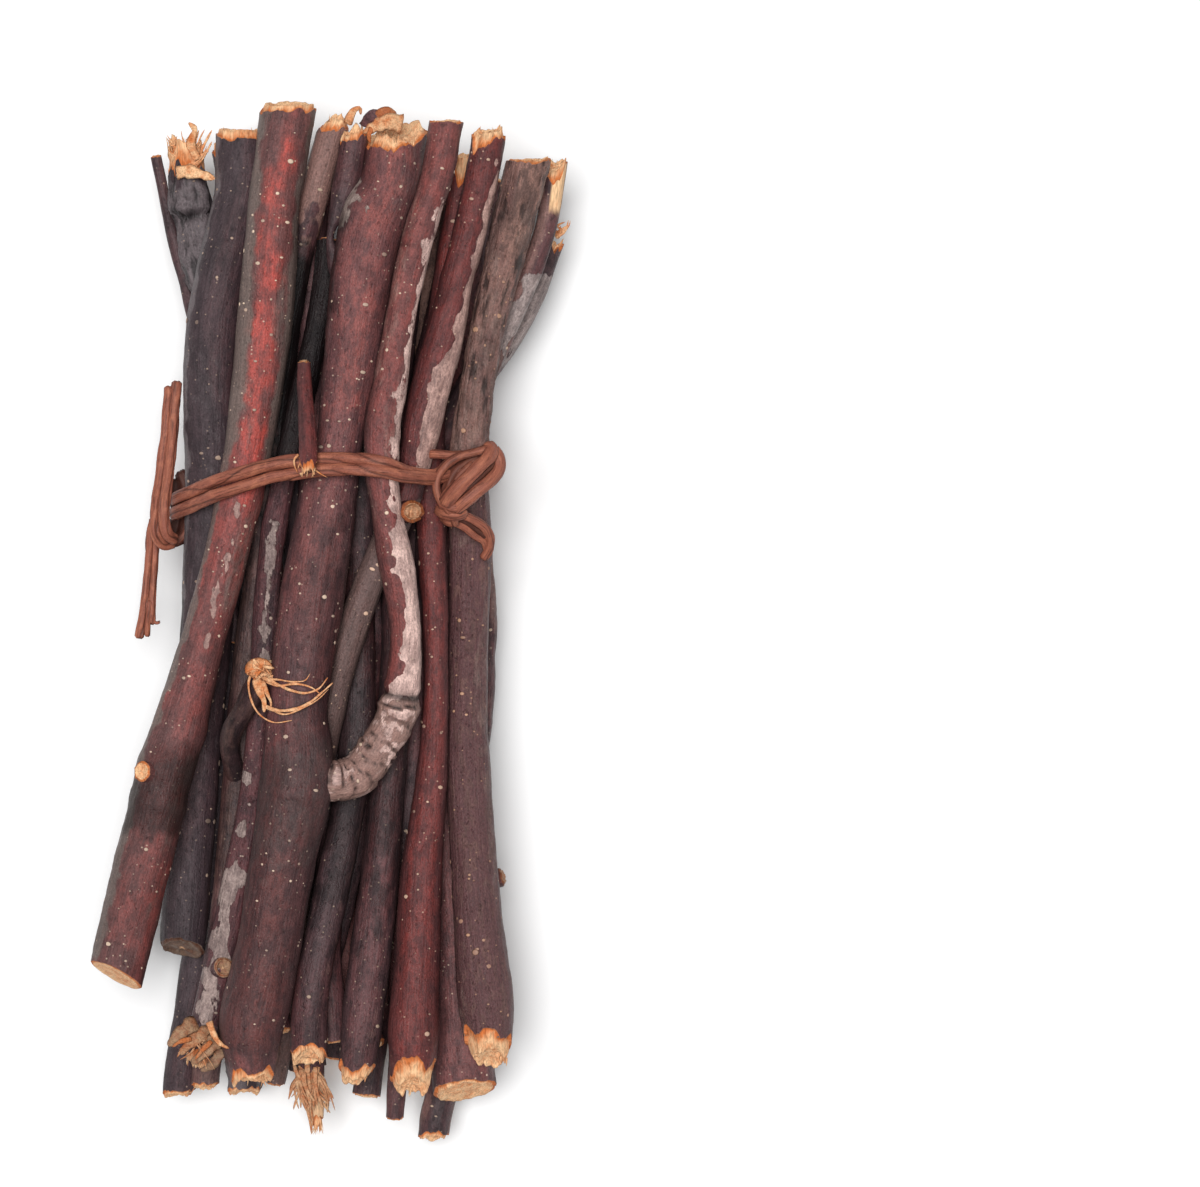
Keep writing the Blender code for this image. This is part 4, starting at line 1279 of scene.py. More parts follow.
    def add_stub(self, work: Patchwork, path: Path, stub: Stub) -> None:
        """Grows a side shoot: a short twig of its own, whose foot is inside this one."""
        order = np.argsort(path.middle[:, 1])
        start = [np.interp(stub.along, path.middle[order, 1], path.middle[order, part]) for part in range(3)]
        rows = np.array(stub.stations)
        own = Path.through_points(np.array(start) + rows[:, (1, 0, 2)], rows[:, 3], step=0.2)
        grime = Strip(Kind.GRIME_AND_SHADE, ((0.0, -1.0, 1.0), (PLAN_FRAME[1], -1.0, 1.0)), 0.5, 0.8, stub.dark, -1.5)
        shoot = replace(
            self, node=f"{self.node} shoot", foot=BURIED, tip=stub.end, marks=(grime,), knuckles=(),
            grain=replace(self.grain, around=self.STUB_SIDES, step=self.STUB_STEP))
        _, tip = shoot.wrap(work, own)
        shoot.add_splinters(work, own, tip, stub.end, 1)

    def add_fibre(self, work: Patchwork, fibre: Fibre) -> None:
        """Lays one fibre or curl: a flat six-cornered ribbon that thins towards its end.

        Its width and thickness fall with the square root of what is left of its length.

        Args:
            work: The twig's patchwork.
            fibre: The fibre.
        """
        own = Path.through_points(places_of(fibre.points), np.ones(len(fibre.points)), step=0.3)
        left = np.sqrt(np.clip(1.0 - own.walked / own.length, 0.0, 1.0))[:, None] * 0.85 + 0.15
        wave = 1.0 + 0.25 * noise(own.walked[:, None] * (1.7, 0.0, 0.0), self.seed)[:, None]
        wide, thick = fibre.width * np.cos(self.RIBBON), fibre.thickness * np.sin(self.RIBBON)
        radius = np.hypot(wide, thick) * left * wave
        walked = np.broadcast_to(own.walked[:, None], radius.shape)
        turn = np.broadcast_to(np.arctan2(thick, wide), radius.shape)
        points = own.wrapped(walked, turn, radius).reshape(-1, 3)
        grain = np.column_stack((points[:, :2], walked.reshape(-1)))
        spots = (0.0, fibre.rust * min(1.0, 2.0 * fibre.wood), 0.0)
        faces = spike_faces(len(own.walked), len(self.RIBBON))
        work.add(points, faces, grain, (fibre.wood, 0, 0), spots)


RED = BarkFinish(
    "red bark", "bark_red", body=tone(106, 66, 64), shade=tone(74, 52, 52), flush_and_lit_crest=tone(164, 70, 62),
    film_and_rim_light=tone(106, 94, 88), peel=tone(160, 128, 120), pore=tone(226, 200, 176), mottle=0.6)
SCARLET = BarkFinish(
    "bright red bark", "bark_red", body=tone(84, 46, 46), shade=tone(54, 33, 35), flush_and_lit_crest=tone(124, 50, 45),
    film_and_rim_light=tone(100, 82, 78), peel=tone(180, 144, 134), pore=tone(216, 180, 156), mottle=0.6)
PEELING = BarkFinish(
    "peeling red bark", "bark_red", body=tone(106, 64, 62), shade=tone(70, 48, 49), flush_and_lit_crest=tone(142, 68, 62),
    film_and_rim_light=tone(150, 120, 110), peel=tone(218, 184, 174), pore=tone(226, 200, 176), mottle=0.6)
MAROON = BarkFinish(
    "maroon bark", "bark_maroon", body=tone(98, 64, 65), shade=tone(60, 43, 46), flush_and_lit_crest=tone(140, 74, 68),
    film_and_rim_light=tone(96, 82, 80), peel=tone(160, 142, 134), pore=tone(216, 190, 168), mottle=0.65)
DARK = BarkFinish(
    "purple-black bark", "bark_dark", body=tone(64, 50, 54), shade=tone(40, 31, 35), flush_and_lit_crest=tone(80, 52, 54),
    film_and_rim_light=tone(104, 94, 96), peel=tone(134, 118, 112), pore=tone(176, 150, 132), roughness=0.55, mottle=0.6)
DUSKY = BarkFinish(
    "dusky bark", "bark_dark", body=tone(76, 54, 56), shade=tone(42, 31, 34), flush_and_lit_crest=tone(108, 60, 60),
    film_and_rim_light=tone(134, 100, 92), peel=tone(158, 142, 138), pore=tone(190, 164, 142))
GREY = BarkFinish(
    "grey flaking bark", "bark_grey", body=tone(84, 56, 58), shade=tone(46, 33, 37), flush_and_lit_crest=tone(104, 56, 58),
    film_and_rim_light=tone(112, 92, 88), peel=tone(158, 138, 132), pore=tone(200, 176, 160), relief=0.9)
ROUGH = BarkFinish(
    "rough brown bark", "bark_rough", body=tone(142, 106, 95), shade=tone(78, 58, 54), flush_and_lit_crest=tone(88, 57, 58),
    film_and_rim_light=tone(136, 114, 106), peel=tone(150, 130, 112), pore=tone(190, 146, 118), relief=0.9)


@dataclass(frozen=True)
class HookedBranch(Twig):
    """The branch that leaves the stem in a hook, whose bark is wrinkled into plates.

    hook is the plan pixel down below which the plates lie, and plate is their length in millimetres
    along the branch. pivot is the place across and along that the hook bends round.
    """

    hook: float = 692.0
    plate: float = 1.7
    pivot: tuple[float, float] = (0.6, -8.7)

    def path(self, solid: Solid) -> Path:
        """The middle line: cut square above the hook, and by planes that turn about its inside."""
        upper = Path.along(solid, 4.0)
        keep = upper.middle[:, 1] > self.pivot[1] + 2.0
        points, radii = [], []
        for turn in np.radians(np.arange(84.0, 0.0, -12.0)):
            ahead = np.array((math.cos(turn), -math.sin(turn), 0.0))
            normal = np.array((math.sin(turn), math.cos(turn), 0.0))
            cut = solid.section(np.array((*self.pivot, 0.0)), normal, ahead)
            if cut is not None:
                points.append(cut.middle)
                radii.append(math.sqrt(cut.area / Path.ROUNDNESS))
        middle, radius = upper.middle[keep][::10], upper.radius[keep][::10]
        points = np.vstack((points, middle, upper.middle[-1:]))
        radii = np.r_[radii, radius, upper.radius[-1]]
        inner = points[0] + np.array(((-4.8, 3.4, -2.6), (-3.2, 1.2, -0.2), (-1.6, 0.1, 0.6)))
        radii = np.r_[radii[0] * 0.4, radii[0] * 0.8, radii[0] * 1.02, radii]
        return Path.through_points(np.vstack((inner, points)), radii)

    def surface_of(
        self, path: Path, grain: Array, angle: Array, walked: Array, base: Array
    ) -> tuple[Array, Array, Array, Array]:
        """Adds the plates to the bark: each swells towards its upper edge and drops into a crack, which is
        darkened with painted shade.

        The place along, shifted by noise, is divided by the plate's length, and what is left over
        of it is the place within the plate.

        Args:
            path: The twig's path.
            grain: The straightened places.
            angle: The angle of each.
            walked: How far along the path each is.
            base: The radius there.

        Returns:
            The relief in millimetres, the painted skin and spots, and how far the surface is sunk.
        """
        relief, skin, spots, sunk = super().surface_of(path, grain, angle, walked, base)
        down = PLAN_ZERO[1] - PLAN_SCALE * path.at(path.middle[:, 1], walked)
        within = ease((down - self.hook) / 4.0)
        shifted = walked + 0.9 * rough(grain * (0.22, 0.22, 0.35), self.seed + 21, 3)
        place = shifted / self.plate
        number = np.floor(place)
        part = place - number
        open_here = noise(grain * (0.5, 0.5, 0.2) + number[..., None] * 3.1, self.seed + 23)
        open_here = ease(0.75 + 1.3 * open_here)
        crack = np.exp(-((np.minimum(part, 1 - part) * self.plate / 0.15) ** 2)) * open_here
        relief = relief + within * (0.2 * part * open_here - 0.42 * crack)
        # painted shade in the cracks between the plates
        spots[..., 1] = np.maximum(spots[..., 1], within * crack)
        paler = 0.34 + 0.3 * rough(grain * (0.6, 0.6, 0.5) + 5.5, self.seed + 24, 3) + 0.16 * np.sin(angle)
        paler = np.where(down > self.hook + 12.0, paler, 0.1)
        spots[..., 2] = np.maximum(spots[..., 2], within * np.clip(paler, 0, 0.8) * (1 - crack))
        skin[..., 1] = np.maximum(skin[..., 1], 2.0 * within)
        return relief, skin, spots, sunk


@dataclass(frozen=True)
class Lay:
    """One strand of twine as it lies: its plan pixels across and down with its height above the floor, its
    half width, how flat it is from 0 to 1, and how dark it is painted, which is painted shade where it lies
    under other strands."""

    points: tuple[tuple[float, float, float], ...]
    width: float = 0.75
    flat: float = 0.3
    dark: float = 0.0


@dataclass(frozen=True)
class Strand:
    """A part of the paper twine, which stands for its own CAD node."""

    node: str

    SIDES = 36
    ROW_GAP = 0.28  # how far apart its rows of points are, in millimetres
    TWIST = 0.05  # how far the folds of an open thread turn in a millimetre, in radians
    ROUNDED = 0.3  # how far from an end it is rounded off, in millimetres

    def add_thread(self, work: Patchwork, path: Path, number: int, lay: Lay) -> None:
        """Wraps creased paper round a path.

        The section is a round with folds pressed into it, which turn slowly as the thread goes on, and noise
        drawn out along it. The folds are painted dark as shade, their ridges pale as a highlight, and a
        strand that lies under others dark all over as shade.

        Args:
            work: The part's patchwork.
            path: The thread's middle line.
            number: Which of the part's threads it is.
            lay: How flat it is, and how dark, which is painted shade.
        """
        seed = sum(ord(letter) for letter in self.node) + 17 * number
        rows = max(20, int(path.length / self.ROW_GAP))
        walked = np.linspace(0.0, path.length, rows, endpoint=not path.closed)
        walked = walked[:, None] * np.ones(self.SIDES)
        turned = np.linspace(0.0, FULL_TURN, self.SIDES, endpoint=False) * np.ones((rows, 1))
        base = path.at(path.radius, walked)
        loop = walked / path.length * FULL_TURN if path.closed else walked * 0.3
        lead = np.stack((3.0 * np.cos(loop), 3.0 * np.sin(loop), np.zeros_like(loop)), axis=-1)
        if path.closed:
            folds = turned + 2.6 * noise(lead * 0.8, seed) + loop
        else:
            folds = turned + self.TWIST * walked + 0.6 * noise(lead * 0.6, seed)
        crease = np.abs(np.sin(folds)) ** 0.45
        grain = np.stack((base * np.cos(turned), base * np.sin(turned), walked + 50 * number), axis=-1)
        fine = np.stack((2 * np.cos(turned), 2 * np.sin(turned), walked * 0.35 + number), axis=-1)
        relief = base * (0.09 * rough(fine, seed + 3, 4) - 0.26 * (1.0 - crease))
        relief -= base * lay.flat * np.abs(np.sin(turned))
        spots = np.zeros((*walked.shape, 3))
        # painted shade: dark in the folds, and all along a strand that lies under others
        spots[..., 1] = np.maximum(0.85 * ease((0.6 - crease) / 0.4), lay.dark)
        # painted highlight: paler on the fold ridges
        paler = 0.3 * ease((crease - 0.9) / 0.1) * ease(0.5 + rough(fine, seed + 9))
        spots[..., 2] = paler * (1.0 - lay.dark)
        if path.closed:
            points = path.wrapped(walked, turned, base + relief).reshape(-1, 3)
            faces = wall_faces(rows, self.SIDES, closed=True)
            work.add(points, faces, grain.reshape(-1, 3), (0, 0, 0), spots.reshape(-1, 3))
            return
        near = np.clip(np.minimum(walked, path.length - walked) / self.ROUNDED, 0, 1)
        ragged = np.stack((3 * np.cos(turned), 3 * np.sin(turned), 0 * turned), axis=-1)
        walked = walked + 0.35 * rough(ragged, seed + 5) * (1 - near)
        relief = relief - base * 0.45 * (1 - near) ** 2
        points = path.wrapped(np.clip(walked, 0.0, path.length), turned, base + relief)
        poles, none = [points[0].mean(axis=0), points[-1].mean(axis=0)], np.zeros((2, 3))
        work.add(
            np.vstack((points.reshape(-1, 3), poles)), tube_faces(rows, self.SIDES),
            np.vstack((grain.reshape(-1, 3), none)), (0, 0, 0), np.vstack((spots.reshape(-1, 3), none)))


@dataclass(frozen=True)
class Band(Strand):
    """One turn of the twine round the bundle.

    runs is how it wanders from its solid: a plan pixel across, and how far it is shifted there along
    the bundle and, on the upper side alone, up.
    """

    runs: tuple[tuple[float, float, float], ...]

    RIGHT_EDGE = 19.4  # how far across it may reach, in millimetres

    def build(self, solid: Solid) -> Patchwork:
        """Wraps paper round the band's own middle line.

        Args:
            solid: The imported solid.

        Returns:
            The band's surface.
        """
        path = Path.around(solid)
        pixel, along, up = np.array(self.runs).T
        across = path.middle[:, 0] * PLAN_SCALE + PLAN_ZERO[0]
        upper = ease((path.middle[:, 2] - path.middle[:, 2].mean()) / 4.0)
        path.middle[:, 1] += through(pixel, along, across)
        path.middle[:, 2] += through(pixel, up, across) * upper
        path.middle[:, 0] = np.minimum(path.middle[:, 0], self.RIGHT_EDGE)
        work = Patchwork()
        self.add_thread(work, path, 0, Lay((), flat=0.0))
        return work


@dataclass(frozen=True)
class LaidStrand(Strand):
    """An end or loop of the twine whose strands are laid one by one."""

    lays: tuple[Lay, ...]

    def build(self, solid: Solid) -> Patchwork:
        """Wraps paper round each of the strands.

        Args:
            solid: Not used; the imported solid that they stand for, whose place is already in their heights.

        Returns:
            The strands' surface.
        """
        work = Patchwork()
        for number, lay in enumerate(self.lays):
            width = np.full(len(lay.points), lay.width)
            self.add_thread(work, Path.through_points(places_of(lay.points), width, step=0.25), number, lay)
        return work


@dataclass(frozen=True)
class Studio:
    """The floor, the lights and the camera.

    floor_reach and level, the height that the camera frames, are in metres, and sun_spread is in
    degrees. sun_way is the direction that the sun shines in.
    """

    floor_tone: Tone = (0.9, 0.9, 0.9)
    floor_reach: float = 3.0
    sky: float = 0.19
    sun: float = 3.3
    sun_spread: float = 26.0
    sun_way: tuple[float, float, float] = (0.04, -0.05, -1.0)
    lens: float = 150.0
    sensor: float = 36.0
    level: float = 0.018

    def set_out(self) -> None:
        """Makes the pale floor, soft light from above, and the camera looking down."""
        self.floor()
        world = bpy.data.worlds.new("soft daylight")
        world.use_nodes = True
        sky = world.node_tree.nodes["Background"]
        sky.inputs["Color"].default_value = (1.0, 1.0, 1.0, 1.0)
        sky.inputs["Strength"].default_value = self.sky
        bpy.context.scene.world = world
        self.lamp()
        self.camera()
        view = bpy.context.scene.view_settings
        view.view_transform = "Standard"
        view.look = "None"
        view.exposure = 0.0

    def floor(self) -> None:
        """A wide flat sheet just under the bundle."""
        side = np.array((-self.floor_reach, self.floor_reach))
        across, along = (part.ravel() for part in np.meshgrid(side, side))
        mesh = bpy.data.meshes.new("floor")
        mesh.from_pydata(np.column_stack((across, along, np.zeros(4))).tolist(), [], [(0, 1, 3, 2)])
        floor = bpy.data.objects.new("floor", mesh)
        bpy.context.scene.collection.objects.link(floor)
        sheet = Sheet("pale floor")
        sheet.feed(sheet.surface.inputs["Base Color"], self.floor_tone)
        sheet.value("Roughness", 0.9)
        sheet.value("Specular IOR Level", 0.1)
        mesh.materials.append(sheet.material)

    def lamp(self) -> None:
        """A soft sun, high and a little to the left."""
        light = bpy.data.lights.new("soft sun", "SUN")
        light.energy = self.sun
        light.angle = math.radians(self.sun_spread)
        lamp = bpy.data.objects.new("soft sun", light)
        lamp.rotation_euler = Vector(self.sun_way).to_track_quat("-Z", "Y").to_euler()
        bpy.context.scene.collection.objects.link(lamp)

    def camera(self) -> None:
        """A long lens straight above, framed as the photograph is."""
        data = bpy.data.cameras.new("camera")
        data.sensor_width = self.sensor
        data.lens = self.lens
        camera = bpy.data.objects.new("camera", data)
        width = PLAN_FRAME[0] / PLAN_SCALE * MM
        across, along = across_of(PLAN_FRAME[0] / 2) * MM, along_of(PLAN_FRAME[1] / 2) * MM
        camera.location = (across, along, self.level + width * self.lens / self.sensor)
        bpy.context.scene.collection.objects.link(camera)
        bpy.context.scene.camera = camera


def tuft(
    root: tuple[float, float, float], tips: tuple[float, float, float, float], count: int, width: float,
    seed: int, wood: float = 1.0,
) -> tuple[Fibre, ...]:
    """A tuft of fibres that start near one place and end spread over a patch, each bent its own way.

    Args:
        root: The plan pixel across and down where they start, and their height above the floor.
        tips: The patch that they end in: left, right, top and bottom plan pixels.
        count: How many fibres.
        width: The half width of the widest.
        seed: Which tuft this is.
        wood: How much they are bare wood.

    Returns:
        The fibres.
    """
    random = np.random.default_rng(seed)
    made = []
    for _ in range(count):
        start = np.array(root) + random.normal(0.0, 1.0, 3) * (3.0, 2.5, 0.3)
        across, down = random.uniform(*tips[:2]), random.uniform(*tips[2:])
        whole = np.array((across, down, root[2] + random.normal(0.0, 0.4))) - start
        bend = random.normal(0.0, 3.0, 3) * (1.0, 0.6, 0.08)
        places = [start, start + whole * 0.35 + bend, start + whole * 0.7 + bend * 0.8, start + whole]
        points = tuple(tuple(float(part) for part in place) for place in places)
        made.append(Fibre(points, width * float(random.uniform(0.35, 1.0)), 0.09, wood))
    return tuple(made)


SHOOT_FIBRES = (
    Fibre(((258, 668, 26.3), (254, 680, 26.9), (256, 696, 27.4), (264, 711, 28.0), (280, 720, 29.0),
           (298, 718, 29.6)), 0.16, 0.1),
    Fibre(((270, 704, 28.2), (282, 708, 29.2), (300, 707, 30.0), (316, 700, 30.2), (328, 690, 29.8),
           (338, 681, 29.2)), 0.24, 0.12),
    Fibre(((275, 706, 28.4), (290, 712, 29.4), (308, 706, 30.2), (324, 697, 30.2), (334, 687, 29.6)),
          0.14, 0.1),
    Fibre(((268, 676, 27.6), (280, 681, 28.8), (296, 688, 29.8), (312, 691, 30.2), (324, 687, 30.0),
           (333, 676, 29.6)), 0.22, 0.12),
    Fibre(((270, 678, 27.8), (284, 678, 29.0), (300, 680, 30.0), (312, 678, 30.3), (316, 672, 30.4)),
          0.15, 0.1),
    Fibre(((272, 680, 27.8), (286, 684, 29.2), (302, 682, 30.0), (318, 686, 30.2), (326, 692, 30.0)),
          0.2, 0.1),
    Fibre(((262, 678, 27.4), (266, 690, 28.0), (270, 700, 28.4), (270, 710, 28.4)), 0.62, 0.2),
    Fibre(((268, 680, 27.6), (273, 692, 28.3), (277, 702, 28.6), (276, 708, 28.6)), 0.3, 0.14),
    Fibre(((256, 672, 26.4), (262, 664, 27.2), (270, 662, 27.3), (277, 668, 27.0)), 1.0, 0.8, rust=0.6),
    *tuft((266, 668, 27.8), (252, 280, 656, 682), 9, 0.26, 5),
)
BROOM_FIBRES = (
    Fibre(((300, 1086, 14.8), (303, 1104, 14.2), (307, 1122, 13.4), (309, 1139, 12.6)), 0.24, 0.12, 0.75),
    Fibre(((306, 1090, 14.8), (308, 1106, 14.2), (310, 1122, 13.4), (309, 1137, 12.8)), 0.2, 0.12, 0.75),
    *tuft((300, 1074, 14.9), (286, 316, 1090, 1116), 30, 0.36, 8, 0.66),
    *tuft((314, 1072, 14.9), (304, 334, 1092, 1116), 30, 0.36, 9, 0.66),
)
FRAYED_STRIPS = (
    Fibre(((200, 1020, 22.6), (190, 1025, 23.6), (180, 1033, 23.8), (172, 1042, 23.2)),
          1.15, 0.16, 0.42, 0.4),
    Fibre(((214, 1030, 22.8), (204, 1032, 24.0), (193, 1040, 24.4), (184, 1050, 23.6)),
          1.05, 0.16, 0.55, 0.5),
    Fibre(((222, 1034, 22.8), (216, 1040, 24.2), (206, 1050, 24.4), (196, 1059, 23.6)), 1.1, 0.16, 0.42, 0.4),
    Fibre(((224, 1042, 22.6), (222, 1052, 23.6), (214, 1062, 23.6), (204, 1067, 22.8)), 0.85, 0.16, 0.3, 0.4),
    Fibre(((196, 1034, 24.6), (186, 1036, 25.0), (177, 1042, 24.6)), 0.34, 0.12, 0.8, 0.8),
    Fibre(((216, 1036, 25.0), (206, 1046, 25.4), (200, 1054, 25.0)), 0.34, 0.12, 0.8, 0.8),
    *tuft((200, 1036, 24.0), (172, 222, 1046, 1066), 8, 0.26, 12, 0.7),
)
STEM_CURLS = (
    Fibre(((370, 131, 24.4), (373, 124, 25.2), (380, 120, 25.5), (386, 124, 25.0)), 0.9, 0.4, 0.0),
    Fibre(((379, 124, 25.4), (385, 118, 25.9), (392, 117, 25.9), (399, 121, 25.4)), 0.6, 0.2, 0.6, 0.9),
    Fibre(((404, 130, 25.2), (392, 128, 26.0), (380, 132, 26.0), (366, 138, 25.2)), 1.1, 0.3, 0.9),
    Fibre(((375, 134, 25.8), (372, 141, 25.9), (373, 149, 25.4)), 0.34, 0.15, 0.8, 0.9),
)
GNARLED_CHIPS = (
    Fibre(((176, 172, 16.8), (186, 171, 17.6), (200, 174, 18.2), (215, 179, 18.4)), 1.0, 0.18, 1.0, 0.3),
    Fibre(((196, 158, 16.2), (190, 142, 16.8), (194, 128, 17.2), (188, 122, 17.0)), 0.7, 0.3),
    *tuft((190, 166, 16.2), (166, 214, 128, 152), 26, 0.34, 21),
)
LOOSE_CURL = (
    Fibre(((350, 128, 23.4), (353, 121, 24.2), (357, 115, 24.3), (362, 113, 24.0), (363, 119, 23.6)),
          0.55, 0.22),
)
STEM_SKIRT = (
    Fibre(((215, 1016, 26.6), (219, 1026, 27.2), (225, 1036, 27.0), (234, 1042, 26.4)), 0.42, 0.2),
)
SPUR_FIBRES = (
    Fibre(((312, 462, 30.0), (318, 470, 30.6), (326, 476, 30.6), (333, 480, 30.2)), 0.16, 0.1),
    *tuft((311, 458, 30.2), (303, 322, 464, 476), 10, 0.26, 31),
)
SPLAY_FIBRES = tuft((558, 232, 11.8), (552, 570, 216, 228), 12, 0.26, 41)
# painted shade over this stretch of twigs that lie deep under others
BEHIND_SHADE = Strip(Kind.GRIME_AND_SHADE, ((540, -1.0, 1.0), (900, -1.0, 1.0)), 0.8, 2.5, 0.5, -1.5)


